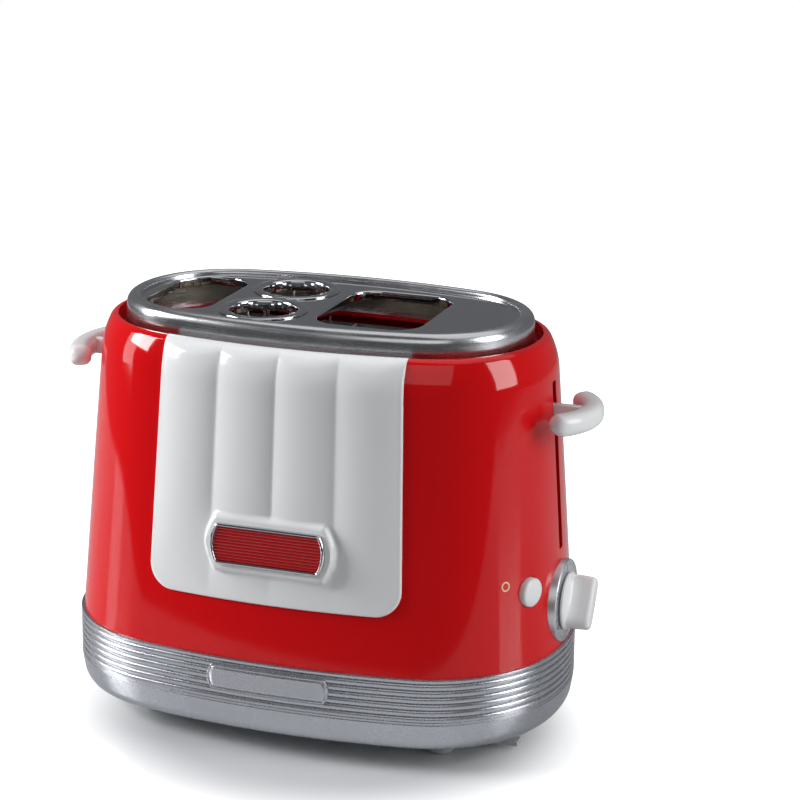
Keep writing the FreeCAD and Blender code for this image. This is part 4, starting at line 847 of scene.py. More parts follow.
@dataclass
class FrontPanel:
    """The white front: four round flutes that rise out of a flat foot, hooked over the shell's lip."""

    low_half: float = 69.8
    top_half: float = 65.2
    bottom: float = 83.5
    corner: float = 14.0
    proud: float = 1.6
    flutes: int = 4
    margin: float = 1.6
    rise_start: float = 84.0
    rise_full: float = 150.0
    rise: float = 2.4
    edge_round: float = 1.3
    sunk: float = 1.2
    straight: float = 204.0
    flute_power: float = 2.1
    edge_fade: float = 2.0
    pad_round: float = 400.0
    pad_soft: float = 0.8
    pad_slope: float = 2.6
    lip_proud: float = 0.12
    hook: float = 8.0
    hook_inside: float = 6.8
    hook_thick: float = 0.6
    row_pitch: float = 1.1
    column_pitch: float = 0.9

    def half(self, z: float) -> float:
        """Half the panel's width at a height, without its round corners."""
        share = (z - self.bottom) / (SHELL.high - self.bottom)
        return self.low_half + share * (self.top_half - self.low_half)

    def row_half(self, z: float) -> float:
        """Half the panel's width at a height, with its round corners.

        Args:
            z: The height.

        Returns:
            Half the width there.
        """
        up = z - self.bottom
        if up >= self.corner:
            return self.half(z)
        drop = self.corner - up
        return self.half(z) - self.corner + math.sqrt(max(self.corner**2 - drop**2, 0))

    def to_edge(self, x: float, z: float) -> float:
        """How far a place lies in from the panel's outline.

        Args:
            x: The place across.
            z: The height.

        Returns:
            The distance to the nearest edge.
        """
        side = self.half(z) - abs(x)
        up = z - self.bottom
        if side < self.corner and up < self.corner:
            return self.corner - math.hypot(self.corner - side, self.corner - up)
        return min(side, up)

    def swell(self, x: float, z: float) -> float:
        """How far the flutes stand out of the panel at a place.

        Args:
            x: The place across.
            z: The height.

        Returns:
            The flute's height there.
        """
        half = self.half(z) - self.margin
        if abs(x) >= half:
            return 0.0
        share = (x + half) / (2 * half) * self.flutes % 1.0
        grow = min(max((z - self.rise_start) / (self.rise_full - self.rise_start), 0), 1)
        grow = math.sin(grow * math.pi / 2)
        return self.rise * grow * (1 - abs(2 * share - 1) ** self.flute_power)

    def pad(self, x: float, z: float, skin: float) -> float:
        """The height there, raised to the flat pad under the badge with a soft slope round it.

        Args:
            x: The place across.
            z: The height.
            skin: How far the flutes stand out there.

        Returns:
            How far the panel stands out with its pad.
        """
        up = (z - BADGE.height) / math.cos(BADGE.lean())
        end = BADGE.half_length + BADGE.pad_margin - BADGE.bow * (up / BADGE.half_width) ** 2
        out = max(abs(x) - end, abs(up) - BADGE.half_width - BADGE.pad_margin)
        flat = self.proud + BADGE.lift + x * x / (2 * self.pad_round)
        if out <= -self.pad_soft:
            return max(flat, skin)
        share = min((out + self.pad_soft) / self.pad_slope, 1)
        fall = share * share * (3 - 2 * share)
        return max(skin, flat + (skin - flat) * fall)

    def place(self, x: float, row: float, front: bool) -> Point:
        """The point for a place across and a row, where rows past the straight run over the lip.

        Args:
            x: The place across.
            row: The row.
            front: Whether the point is on the outside.

        Returns:
            The point.
        """
        z = min(row, self.straight)
        gap = self.to_edge(x, z)
        if front:
            dip = max(self.edge_round - gap, 0)
            body = self.proud - self.edge_round + math.sqrt(max(self.edge_round**2 - dip**2, 0))
            height = self.pad(x, z, body + self.swell(x, z) * min(gap / self.edge_fade, 1))
        else:
            height = -self.sunk
        high = SHELL.high + (self.lip_proud if front else -self.sunk)
        roll = SHELL.lip_round + height
        start = high - roll
        if row <= self.straight:
            return SHELL.front_point(x, row, height)
        past = row - self.straight
        if past <= 1:
            return SHELL.front_point(x, self.straight + (start - self.straight) * past, height)
        if past <= 2:
            angle = math.pi / 2 * (past - 1)
            z = start + roll * math.sin(angle)
            return SHELL.front_point(x, z, height - roll * (1 - math.cos(angle)))
        flat = SHELL.lip_width - SHELL.shoulder_in
        if past <= 3:
            return SHELL.front_point(x, high, -SHELL.lip_round - (flat - SHELL.lip_round) * (past - 2))
        drop = (self.hook if front else self.hook_inside) * (past - 3)
        spot = SHELL.front_point(x, high, -flat + (0.0 if front else self.hook_thick) * (past - 3))
        return spot[0], spot[1], high - drop

    def build(self) -> None:
        """Builds the panel."""
        starts = [0, 0.12, 0.35, 0.7, 1.1, 1.6, 2.4, 3.4, 4.6, 6.0, 7.6, 9.4, 11.4, 13.4]
        rows = [self.bottom + start for start in starts]
        rows += list(np.arange(self.bottom + 15.0, self.straight - 1, self.row_pitch))
        rows += [self.straight + step / 8 for step in range(9)]
        rows += [self.straight + 1 + step / 10 for step in range(1, 11)]
        rows += [self.straight + 2.5, self.straight + 3, self.straight + 4]
        draft = Draft()
        draft.relief(rows, self.row_half, starts[:6], self.column_pitch, self.place)
        settle(draft.make("front_panel_moulding", 50), "toaster", WHITE_ABS, ["front_panel"])


@dataclass
class Badge:
    """The chromed frame on the panel's pad and the bare ribbed field inside it."""

    height: float = 114.7
    half_length: float = 31.4
    half_width: float = 10.8
    bow: float = 3.0
    corner: float = 2.6
    lift: float = 3.2
    thick: float = 2.6
    frame: float = 1.9
    pad_margin: float = 3.4
    ribs: int = 11
    rib_rise: float = 0.5
    overlap: float = 0.1
    field_back: float = -0.8

    def lean(self) -> float:
        """How far the front leans back, in radians."""
        return math.atan2(LOW.half_width - TOP.half_width, SHELL.high - SHELL.bottom)

    def placed(self, across: float, up: float, out: float) -> Point:
        """A point of the badge, in its own leaning frame, set on the body.

        Args:
            across: The place along the badge.
            up: The place up the badge.
            out: How far it stands out.

        Returns:
            The point on the body.
        """
        lean = self.lean()
        rise = up * math.cos(lean) + out * math.sin(lean)
        back = up * math.sin(lean) - out * math.cos(lean)
        wall = SHELL.level(self.height).half_width
        return across, -wall + back, self.height + rise

    def build(self) -> None:
        """Builds the frame and the field."""
        low = FRONT_PANEL.proud + self.lift
        draft = Draft()
        profile = [(0.0, -1.2), (0.0, 1.2), (0.12, 1.75), (0.4, 2.25), (0.85, 2.55), (1.1, 2.58)]
        profile += [(1.45, 2.4), (1.72, 2.0), (1.85, 1.5), (1.9, 0.9), (1.9, -1.2)]
        rings = []
        for inset, out in profile:
            outline = bowed_bar(self.half_length, self.half_width, self.bow, self.corner, inset)
            rings.append(draft.ring([self.placed(x, y, low + out) for x, y in outline]))
        draft.skin(rings, loop=True)
        settle(draft.make("badge_frame", 50), "toaster", CHROME, ["badge_bezel"])
        reach = self.half_width - self.frame + self.overlap
        pitch = 2 * reach / self.ribs
        rows = [-reach + pitch * step / 8 for step in range(8 * self.ribs + 1)]

        def half(row: float) -> float:
            """Half the field's length at a row.

            Args:
                row: The place up the field.

            Returns:
                Half the length.
            """
            return self.half_length - self.frame + self.overlap - self.bow * (row / self.half_width) ** 2

        def place(across: float, row: float, front: bool) -> Point:
            """A point of the field.

            Args:
                across: The place along the field.
                row: The place up it.
                front: Whether the point is on the outside.

            Returns:
                The point.
            """
            share = (row + reach) / pitch % 1.0
            wave = self.rib_rise * math.sin(math.pi * share) ** 0.8 if 0 < share < 1 else 0.0
            out = self.thick / 2 - self.overlap + wave if front else self.field_back
            return self.placed(across, row, low + out)

        field = Draft()
        field.relief(rows, half, [0, 0.6], 6.0, place)
        settle(field.make("badge_field", 60), "toaster", RED_ACRYLIC, ["badge_plate"])


@dataclass
class Tray:
    """The steel top: a satin side wall under a rolled crest, and a mirror plate with four openings."""

    inset: float = 11.95
    crest: float = 226.0
    rim: float = 7.8
    recess: float = 2.5
    outer_round: float = 5.2
    inner_round: float = 2.2
    sheet: float = 1.2
    collar: float = 5.0
    roll: float = 1.2
    margin: float = 3.0
    slot_corner: float = 15.0
    slots: tuple = ((-97.0, -57.0, 37.0), (3.0, 60.0, 38.0))
    hole_x: float = -27.5
    hole_y: float = 24.0
    hole_radius: float = 20.0

    def plate(self) -> float:
        """Height of the plate's top."""
        return self.crest - self.recess

    def slot_outline(self, slot: tuple[float, float, float], grow: float) -> list[tuple[float, float]]:
        """A bun slot's outline, kept clear of the rim.

        Args:
            slot: Its low end, high end and half width.
            grow: How far the outline is grown.

        Returns:
            The points in order.
        """
        low, high, half = slot
        middle = (low + high) / 2
        keep = TOP.inset(self.inset + self.rim + self.margin - grow)
        box = rounded_bar((high - low) / 2 + grow, half + grow, self.slot_corner + grow, 16)
        outline = []
        for x, y in box:
            reach = 1.0
            if keep.beyond(np.array(middle + x), np.array(y)) > 0:
                near, far = 0.0, 1.0
                for _ in range(30):
                    reach = (near + far) / 2
                    if keep.beyond(np.array(middle + x * reach), np.array(y * reach)) > 0:
                        far = reach
                    else:
                        near = reach
            outline.append((middle + x * reach, y * reach))
        return outline

    def hole_outline(self, sign: int, grow: float) -> list[tuple[float, float]]:
        """A sausage hole's outline.

        Args:
            sign: +1 for the back hole and -1 for the front.
            grow: How far the outline is grown.

        Returns:
            The points in order.
        """
        radius = self.hole_radius + grow
        outline = []
        for angle in round_turn(72):
            x = self.hole_x + radius * math.cos(angle)
            outline.append((x, sign * self.hole_y + radius * math.sin(angle)))
        return outline

    def openings(self, grow: float) -> list[list[tuple[float, float]]]:
        """All four openings, grown by a distance."""
        made = [self.slot_outline(slot, grow) for slot in self.slots]
        return made + [self.hole_outline(sign, grow) for sign in (-1, 1)]

    def build_rim(self) -> None:
        """Builds the rim with its rolled crest."""
        low = self.plate() - self.sheet
        profile = [(self.inset + 0.3, SHELL.ledge), (self.inset, SHELL.ledge + 0.5)]
        for angle in [0.0] + quarter_turn(12):
            profile.append((
                self.inset + self.outer_round * (1 - math.cos(angle)),
                self.crest - self.outer_round * (1 - math.sin(angle)),
            ))
        inner = self.inset + self.rim
        for angle in quarter_turn(8):
            profile.append((
                inner - self.inner_round * (1 - math.sin(angle)),
                self.crest - self.inner_round * (1 - math.cos(angle)),
            ))
        profile += [(inner, self.plate() - 0.2), (inner, low), (self.inset + self.sheet, low)]
        profile.append((self.inset + self.sheet, SHELL.ledge))
        draft = Draft()
        band(draft, [(TOP.inset(inset), z) for inset, z in profile])
        settle(draft.make("tray_rim", 50), "toaster", SATIN_STEEL, ["top_rim"])

    def build_plate(self) -> None:
        """Builds the plate: flat between its openings, which roll down into collars."""
        high = self.plate()
        low = high - self.sheet
        outer = TOP.inset(self.inset + self.rim - 0.2).outline()
        draft = Draft()
        edges = []
        for level, grow in ((high, self.roll), (low, self.roll)):
            loops = [draft.ring([(x, y, level) for x, y in outer])]
            for outline in self.openings(grow):
                loops.append(draft.ring([(x, y, level) for x, y in outline]))
            edges.append(loops)
        draft.bridge(edges[0][0], edges[1][0])
        for place in range(4):
            rings = [edges[0][place + 1]]
            for angle in quarter_turn(6):
                outline = self.openings(self.roll * (1 - math.sin(angle)))[place]
                z = high - self.roll * (1 - math.cos(angle))
                rings.append(draft.ring([(x, y, z) for x, y in outline]))
            foot = high - self.collar
            for grow, z in ((0.0, foot + 0.3), (0.3, foot), (self.roll, foot)):
                rings.append(draft.ring([(x, y, z) for x, y in self.openings(grow)[place]]))
            rings.append(edges[1][place + 1])
            draft.skin(rings)
        piece = draft.make("tray_plate", fills=edges)
        steer_normals(piece, lambda x, y, z: z - high)
        settle(piece, "toaster", MIRROR_STEEL, ["top_plate"])

    def build_collars(self) -> None:
        """Builds the ring round each sausage hole that a cage hangs by."""
        high = self.plate()
        profile = [(18.9, -5.0), (18.9, 0.0), (23.1, 0.0), (23.6, 0.15), (23.6, 0.45), (23.35, 0.8)]
        profile += [(22.9, 1.0), (19.6, 1.0), (18.6, 0.85), (18.1, 0.4), (17.9, -0.3), (17.9, -5.0)]
        for label, sign in (("front", -1), ("back", 1)):
            draft = Draft()
            draft.turn(profile, (self.hole_x, sign * self.hole_y, high), (0, 0, 1), 96, loop=True)
            piece = draft.make(label + "_cage_ring", 50)
            settle(piece, label + "_cage", MIRROR_STEEL, [label + "_cage_collar"])

    def build(self) -> None:
        """Builds the whole top."""
        self.build_rim()
        self.build_plate()
        self.build_collars()


@dataclass
class Base:
    """The silver foot of the body: round ribs, two fine lines, a soft turned-in edge and its plate."""

    top: float = 52.65
    low: float = 12.0
    proud: float = 1.7
    foot: float = 18.3
    foot_proud: float = 0.4
    turn_in: float = 6.0
    wall: float = 2.6
    rim: float = 8.0
    rim_thick: float = 2.4
    flange: float = 14.0
    floor: float = 2.5
    ribs: int = 6
    pitch: float = 3.6
    first: float = 2.6
    depth: float = 1.1
    line_first: float = 2.8
    line_pitch: float = 1.5
    plate_half: float = 33.8
    plate_height: float = 41.6
    plate_tall: float = 6.8
    plate_thick: float = 0.8
    plate_bow: float = 2.4
    line_half: float = 0.32
    line_flat: float = 0.06
    line_depth: float = 0.3
    plate_corner: float = 1.0
    plate_round: float = 0.45
    frame_line: float = 1.1
    frame_line_wide: float = 0.5
    frame_line_deep: float = 0.25
    gate: tuple = (-99.0, 63.0, 30.0, 40.0)
    gate_run: tuple = (45.5, 120.0)
    play: float = 0.3
    pan_middle: float = 13.6
    pan_half: float = 71.6
    pan_corner: float = 4.0
    pan_back: float = 1.2
    feet_at: tuple = (81.5, 45.5)

    def outside(self) -> list[tuple[float, float]]:
        """The outside from the underside to the top, as insets and heights.

        Returns:
            Pairs of an inset and a height.
        """
        profile = [(self.turn_in + 1.5, self.low), (self.turn_in, self.low + 0.02), (4.6, 12.25)]
        profile += [(3.1, 12.85), (1.7, 13.95), (0.6, 15.6), (-0.1, 17.1), (-self.foot_proud, self.foot)]
        profile += [(-0.8, 20.6), (-1.2, 23.0), (-1.5, 25.2)]
        grooves = [self.top - self.first - place * self.pitch for place in range(self.ribs)]
        crest = -self.proud
        for place in (1, 0):
            z = grooves[-1] - self.line_first - place * self.line_pitch
            bed = crest + self.line_depth
            profile += [(crest, z - self.line_half), (bed, z - self.line_flat), (bed, z + self.line_flat)]
            profile.append((crest, z + self.line_half))
        # Half a groove, as shares of the pitch upward and of the depth inward.
        half = [(0.55, 0.0), (0.7, 0.05), (0.82, 0.17), (0.9, 0.36), (0.95, 0.58), (0.98, 0.82), (1.0, 1.0)]
        out = [(1 - up, depth) for up, depth in reversed(half[:-1])]
        profile += [(crest + depth * self.depth, grooves[-1] - (1 - up) * self.pitch) for up, depth in half]
        for z in reversed(grooves[1:]):
            profile += [(crest + depth * self.depth, z + up * self.pitch) for up, depth in out + half]
        profile += [(crest + depth * self.depth, grooves[0] + up * self.pitch) for up, depth in out]
        profile += [(crest, self.top - 0.45), (crest + 0.12, self.top - 0.14), (crest + 0.45, self.top)]
        return profile

    def gate_block(self, name: str, pull: float, corner: float) -> bpy.types.Object:
        """A block that fills the gate at the back, drawn in from its edges.

        Args:
            name: The block's name.
            pull: How far it is drawn in.
            corner: Radius of its corners.

        Returns:
            The block, for carve.
        """
        x0, x1, z0, z1 = self.gate
        outline = rounded_bar((x1 - x0) / 2 - pull, (z1 - z0) / 2 - pull, corner)
        block = Draft()
        block.stack([[((x0 + x1) / 2 + x, y, (z0 + z1) / 2 + z) for x, z in outline] for y in self.gate_run])
        return block.make(name)

    def build_housing(self) -> None:
        """Builds the housing with its gate at the back."""
        inner = self.wall - self.proud
        profile = [(self.flange, self.low)] + self.outside()
        under = self.top - self.rim_thick
        profile += [(self.rim, self.top), (self.rim, under), (inner, under)]
        profile += [(inner, self.low + self.floor + 6), (inner + 3, self.low + self.floor)]
        profile.append((self.flange, self.low + self.floor))
        draft = Draft()
        band(draft, [(LOW.inset(inset), z) for inset, z in profile])
        piece = draft.make("base_moulding", 50)
        carve(piece, [self.gate_block("gate_tool", 0.0, 1.0)])
        settle(piece, "toaster", SILVER_LACQUER, ["base_housing"])

    def build_drawer(self) -> None:
        """Builds the crumb tray: a pan and a face that carries the base's ribs on."""
        x0, x1, z0, z1 = self.gate
        draft = Draft()
        profile = self.outside() + [(2.1, self.top), (2.1, self.low)]
        band(draft, [(LOW.inset(inset), z) for inset, z in profile])
        piece = draft.make("crumb_drawer", 50)
        carve(piece, [self.gate_block("face_tool", self.play, 1.0 - self.play)], "INTERSECT")
        pan = Draft()
        floor = z0 + self.play
        brim = z1 - self.play
        middle = (x0 + x1) / 2
        half = (x1 - x0) / 2 - self.play
        back_plan = LOW.inset(self.pan_back)

        def pan_ring(inset: float, z: float) -> list[Point]:
            """The pan's outline moved in, at a height.

            Args:
                inset: How far in.
                z: The height.

            Returns:
                The points in order.
            """
            made = []
            for x, y in rounded_bar(half - inset, self.pan_half - inset, self.pan_corner - min(inset, 2.0)):
                at_y = y + self.pan_middle
                back = back_plan.beyond(np.array(middle + x), np.array(at_y)) if y > 0 else -1
                made.append((middle + x, at_y - max(float(back), 0.0), z))
            return made

        sections = [(0.6, floor), (0.15, floor + 0.2), (0, floor + 0.7), (0, brim - 0.2), (0.2, brim)]
        sections += [(1.0, brim), (1.2, brim - 0.2), (1.2, floor + 2.2), (2.0, floor + 1.2)]
        pan.stack([pan_ring(inset, z) for inset, z in sections])
        pan_piece = pan.make("crumb_pan", 50)
        settle(piece, "crumb_drawer", SILVER_LACQUER, ["crumb_tray"])
        settle(pan_piece, "crumb_drawer", ZINC_STEEL)

    def build_plate(self) -> None:
        """Builds the bare name plate, bent to the front, with a fine line inside its edge."""
        corner = self.plate_corner
        edge = self.plate_round

        def half(row: float) -> float:
            """Half the plate's length at a row.

            Args:
                row: The place up the plate.

            Returns:
                Half the length there.
            """
            end = self.plate_half - self.plate_bow * (row / self.plate_tall) ** 2
            drop = max(corner - (self.plate_tall - abs(row)), 0)
            return end - corner + math.sqrt(max(corner**2 - drop**2, 0))

        def place(x: float, row: float, front: bool) -> Point:
            """A point of the plate.

            Args:
                x: The place across.
                row: The place up the plate.
                front: Whether the point is on the outside.

            Returns:
                The point.
            """
            gap = min(half(row) - abs(x), self.plate_tall - abs(row))
            dip = max(edge - gap, 0)
            out = self.plate_thick - edge + math.sqrt(max(edge**2 - dip**2, 0))
            along = (gap - self.frame_line) / self.frame_line_wide
            if 0 < along < 1:
                out -= self.frame_line_deep * math.sin(math.pi * along)
            plan = LOW.inset(-self.proud - (out if front else -0.6))
            return x, plan.front - plan.half_width - math.sqrt(plan.front**2 - x * x), self.plate_height + row

        side = [0, 0.08, 0.2, 0.45, 1.1, 1.22, 1.35, 1.48, 1.6]
        rows = [-self.plate_tall + gap for gap in side] + [-4.5, -3, -1.5, 0, 1.5, 3, 4.5]
        rows += [self.plate_tall - gap for gap in reversed(side)]
        draft = Draft()
        draft.relief(rows, half, side, 2.0, place)
        settle(draft.make("front_plate", 60), "toaster", SILVER_LACQUER, ["name_plate"])

    def build_feet(self) -> None:
        """Builds the four feet, with a soft lower edge."""
        profile = [(5.2, 0.0), (6.0, 0.15), (6.6, 0.6), (6.9, 1.2), (7.0, 2.0), (7.0, 14.5)]
        for depth, sign_y in (("front", -1), ("back", 1)):
            for side, sign_x in (("left", -1), ("right", 1)):
                name = f"{depth}_{side}_foot"
                draft = Draft()
                spot = (sign_x * self.feet_at[0], sign_y * self.feet_at[1], 0)
                draft.turn(profile, spot, (0, 0, 1), 48)
                settle(draft.make(name + "_pad", 50), "toaster", GREY_RUBBER, [name])

    def build(self) -> None:
        """Builds the whole foot of the body."""
        self.build_housing()
        self.build_drawer()
        self.build_plate()
        self.build_feet()


@dataclass
class Dial:
    """The silver timer dial with its printed scale, and the white knob that stands on it."""

    height: float = 75.2
    radius: float = 22.2
    face: float = 135.2
    spigot: float = 18.5
    play: float = 0.1
    disc: float = 15.6
    disc_thick: float = 1.8
    gap: float = 0.4
    end: float = 150.0
    grip_tall: float = 14.3
    grip_wide: float = 5.2
    grip_round: float = 2.3
    turned: float = -30.0
    ticks: int = 21
    tick_step: float = 15.0
    tick_outer: float = 20.3
    long_tick: tuple = (16.6, 0.22)
    short_tick: tuple = (18.9, 0.14)
    numbers: int = 5
    number_step: float = 60.0
    number_lag: float = 8.0
    number_radius: float = 18.0
    number_size: float = 2.6

    def on_face(self, radius: float, angle: float, out: float) -> Point:
        """A point on the dial, with the angle clockwise from straight up as the face is seen."""
        return self.face + out, radius * math.sin(angle), self.height + radius * math.cos(angle)

    def build_dial(self) -> None:
        """Builds the dial, recessed a little inside its raised edge."""
        draft = Draft()
        profile = [(3.2, -3.0), (3.2, -0.35), (20.9, -0.35), (21.1, -0.1), (21.4, 0.0), (21.75, -0.08)]
        profile += [(22.05, -0.35), (self.radius, -0.8), (self.radius, -6.4), (18.0, -6.4)]
        draft.turn(profile, (self.face, 0, self.height), (1, 0, 0), 128, loop=True)
        # The dial's lacquer is painted brighter, for the light that it catches from the right.
        settle(draft.make("dial_ring", 40), "toaster", DIAL_LACQUER_PAINTED_LIGHTER, ["timer_dial"])

    def build_scale(self) -> None:
        """Builds the printed marks: ticks, longer at each fourth, and numbers for the minutes."""
        draft = Draft()
        outer = self.tick_outer
        for step in range(self.ticks):
            angle = math.radians(self.tick_step * step)
            inner, half = self.short_tick if step % 4 else self.long_tick
            ring = []
            for radius, side in ((inner, -1), (outer, -1), (outer, 1), (inner, 1)):
                spot = self.on_face(radius, angle, 0)
                shift = side * half
                ring.append((spot[1] + shift * math.cos(angle), spot[2] - shift * math.sin(angle)))
            draft.stack([[(self.face + out, y, z) for y, z in ring] for out in (-0.38, -0.28)])
        settle(draft.make("dial_marks", 50), "toaster", DARK_INK)
        for number in range(1, self.numbers + 1):
            words = bpy.data.curves.new("dial_number_curve", "FONT")
            words.body = str(number)
            words.size = self.number_size * MM
            words.align_x = "CENTER"
            words.align_y = "CENTER"
            words.extrude = 0.04 * MM
            words.resolution_u = 3
            lettered = bpy.data.objects.new("dial_number_text", words)
            bpy.context.scene.collection.objects.link(lettered)
            bpy.context.view_layer.update()
            graph = bpy.context.evaluated_depsgraph_get()
            mesh = bpy.data.meshes.new_from_object(lettered.evaluated_get(graph))
            bpy.data.objects.remove(lettered)
            angle = math.radians(self.number_step * number - self.number_lag)
            spot = Vector(self.on_face(self.number_radius, angle, -0.3)) * MM
            turn = Matrix(((0, 0, 1, spot.x), (1, 0, 0, spot.y), (0, 1, 0, spot.z), (0, 0, 0, 1)))
            mesh.transform(turn)
            piece = bpy.data.objects.new(f"dial_number_{number}", mesh)
            bpy.context.scene.collection.objects.link(piece)
            settle(piece, "toaster", DARK_INK)

    def knob_ring(self, half_y: float, half_z: float, power: float, x: float) -> list[Point]:
        """One ring of the knob, between a circle and a bar.

        Args:
            half_y: Half its width before it is turned.
            half_z: Half its height before it is turned.
            power: 2 for a circle, and more for a bar.
            x: Its place along the axis.

        Returns:
            The points in order.
        """
        ring = []
        turned = math.radians(self.turned)
        for angle in round_turn(144):
            across = abs(math.cos(angle)) / half_y
            up = abs(math.sin(angle)) / half_z
            reach = (across**power + up**power) ** (-1 / power)
            way = angle + turned
            ring.append((x, reach * math.cos(way), self.height + reach * math.sin(way)))
        return ring

    def build_knob(self) -> None:
        """Builds the knob: a thin disc with a bar that flares into it."""
        start = self.face + self.gap
        disc = self.disc
        tall = self.grip_tall
        wide = self.grip_wide
        soft = self.grip_round
        rings = [(disc - 0.4, disc - 0.4, 2.0, start), (disc, disc, 2.0, start + 0.35)]
        rings += [(disc, disc, 2.0, start + 1.2), (disc - 0.25, disc - 0.25, 2.0, start + 1.6)]
        rings += [(disc - 0.8, disc - 0.8, 2.0, start + self.disc_thick)]
        rings += [(9.5, tall + 0.25, 2.2, start + 2.1), (7.9, tall + 0.1, 2.6, start + 2.7)]
        rings += [(6.7, tall, 3.2, start + 3.7), (5.9, tall, 3.8, start + 5.0), (5.5, tall, 4.2, start + 6.5)]
        rings += [(wide + 0.1, tall - 0.1, 4.6, start + 8.2), (wide, tall - 0.25, 4.6, self.end - soft)]
        for angle in quarter_turn(7):
            pull = soft * (1 - math.cos(angle))
            rings.append((wide - pull, tall - 0.25 - pull, 4.2, self.end - soft + soft * math.sin(angle)))
        draft = Draft()
        draft.stack([self.knob_ring(*ring) for ring in rings])
        shaft = [(2.9, -24.0), (2.9, 1.0)]
        draft.turn(shaft, (start, 0, self.height), (1, 0, 0), 32)
        settle(draft.make("knob_moulding", 60), "knob", WHITE_ABS, ["timer_knob"])

    def build(self) -> None:
        """Builds the dial, its scale and its knob."""
        self.build_dial()
        self.build_scale()
        self.build_knob()


@dataclass
class Button:
    """The round stop button on the body's front right, and the printed ring beside it."""

    angle: float = -20.9
    height: float = 91.1
    radius: float = 7.7
    proud: float = 3.0
    length: float = 8.0
    play: float = 0.35
    sunk: float = 14.0
    mark: Point = (116.1, -50.1, 97.5)
    mark_radius: float = 2.5
    mark_line: float = 0.7

    def way(self) -> Vector:
        """The direction that the button faces."""
        return Vector((math.cos(math.radians(self.angle)), math.sin(math.radians(self.angle)), 0))

    def foot(self) -> Vector:
        """Where the button's axis leaves the shell.

        Returns:
            The place on the shell.
        """
        plan = SHELL.level(self.height)
        centre = Vector((plan.half_length - plan.end, 0, self.height))
        return centre + self.way() * plan.end

    def build(self) -> None:
        """Builds the button and the mark."""
        draft = Draft()
        radius = self.radius
        profile = [(radius - 0.5, self.proud - self.length), (radius, self.proud - self.length + 0.5)]
        profile += [(radius, 0.9), (radius - 0.12, 1.35), (radius - 0.45, 1.8), (radius - 1.0, 2.15)]
        profile += [(radius - 2.0, 2.45), (radius - 3.5, 2.72), (radius - 5.3, 2.92), (0.6, 3.0)]
        draft.turn(profile, tuple(self.foot()), tuple(self.way()), 72)
        settle(draft.make("button_cap", 50), "button", WHITE_ABS, ["stop_button"])
        self.build_mark()

    def build_mark(self) -> None:
        """Builds the cream off mark, a ring of ink that lies on the shell."""
        spot = Vector(self.mark)
        steps = (Vector((0.1, 0, 0)), Vector((0, 0.1, 0)), Vector((0, 0, 0.1)))
        grid = np.array([spot] + [spot + step for step in steps])
        values = SHELL.beyond(*grid.T)
        out = Vector((values[1] - values[0], values[2] - values[0], values[3] - values[0])).normalized()
        up = (Vector((0, 0, 1)) - out * out.z).normalized()
        side = up.cross(out)
        draft = Draft()
        rings = []
        for radius, lift in (
            (self.mark_radius, -0.2), (self.mark_radius, 0.03), (self.mark_radius - 0.1, 0.06),
            (self.mark_radius - self.mark_line + 0.1, 0.06), (self.mark_radius - self.mark_line, 0.03),
            (self.mark_radius - self.mark_line, -0.2),
        ):
            points = []
            for angle in round_turn(64):
                place = spot + side * radius * math.cos(angle) + up * radius * 1.05 * math.sin(angle)
                for _ in range(2):
                    place -= out * float(SHELL.beyond(*np.array([place]).T)[0])
                points.append(tuple(place + out * lift))
            rings.append(draft.ring(points))
        draft.skin(rings, loop=True)
        settle(draft.make("off_mark", 50), "toaster", CREAM_INK)


@dataclass
class Lever:
    """A white lever: a bowed round bar on a flat stalk that runs in a slot."""

    side: str
    sign: int
    height: float
    out: float
    bow: float
    half: float = 29.0
    thick: float = 12.0
    tall: float = 11.5
    stalk_wide: float = 4.6
    stalk_tall: float = 9.0
    start: float = 113.5
    power: float = 2.7

    def section(self, spot: Vector, outward: Vector, wide: float, tall: float) -> list[Point]:
        """One soft-cornered section of the bar.

        Args:
            spot: The section's middle.
            outward: The way out from the bow.
            wide: Half its width.
            tall: Half its height.

        Returns:
            The points in order.
        """
        ring = []
        for angle in round_turn(40):
            across = math.copysign(abs(math.cos(angle)) ** (2 / self.power), math.cos(angle)) * wide
            up = math.copysign(abs(math.sin(angle)) ** (2 / self.power), math.sin(angle)) * tall
            point = spot + outward * across + Vector((0, 0, up))
            ring.append((self.sign * point.x, point.y, point.z))
        return ring

    def build(self) -> None:
        """Builds the bar and its stalk as one moulding."""
        chord = self.half - self.thick / 2
        radius = (chord**2 + self.bow**2) / (2 * self.bow)
        centre = Vector((self.out - self.thick / 2 - radius, 0, self.height))
        turn = math.asin(chord / radius)
        cap = self.thick / 2
        places = []
        for step in range(9):
            past = cap * math.sin(math.radians(88 - 88 * step / 8))
            places.append((-turn, -past))
        places += [(-turn + 2 * turn * step / 28, 0.0) for step in range(1, 28)]
        for step in range(9):
            places.append((turn, cap * math.sin(math.radians(88 * step / 8))))
        rings = []
        for angle, past in places:
            outward = Vector((math.cos(angle), math.sin(angle), 0))
            along = Vector((-math.sin(angle), math.cos(angle), 0))
            share = math.sqrt(max(1 - (past / cap) ** 2, 0.0004))
            spot = centre + outward * radius + along * past
            tall = self.tall / 2 * (0.35 * share**3 + 0.65 * share)
            rings.append(self.section(spot, outward, cap * share, tall))
        draft = Draft()
        draft.stack(rings)
        body = rounded_bar(self.stalk_wide / 2, self.stalk_tall / 2, 1.0)
        ends = [(self.start, 0.25), (self.start + 0.3, 0.0), (self.out - self.thick / 2, 0.0)]
        stalk = []
        for x, pull in ends:
            shrink = 1 - pull / (self.stalk_wide / 2)
            squeeze = 1 - pull / (self.stalk_tall / 2)
            stalk.append([(self.sign * x, y * shrink, self.height + z * squeeze) for y, z in body])
        draft.stack(stalk)
        piece = draft.make(self.side + "_lever_moulding", 50)
        settle(piece, self.side + "_lift", WHITE_ABS, [self.side + "_lever"])


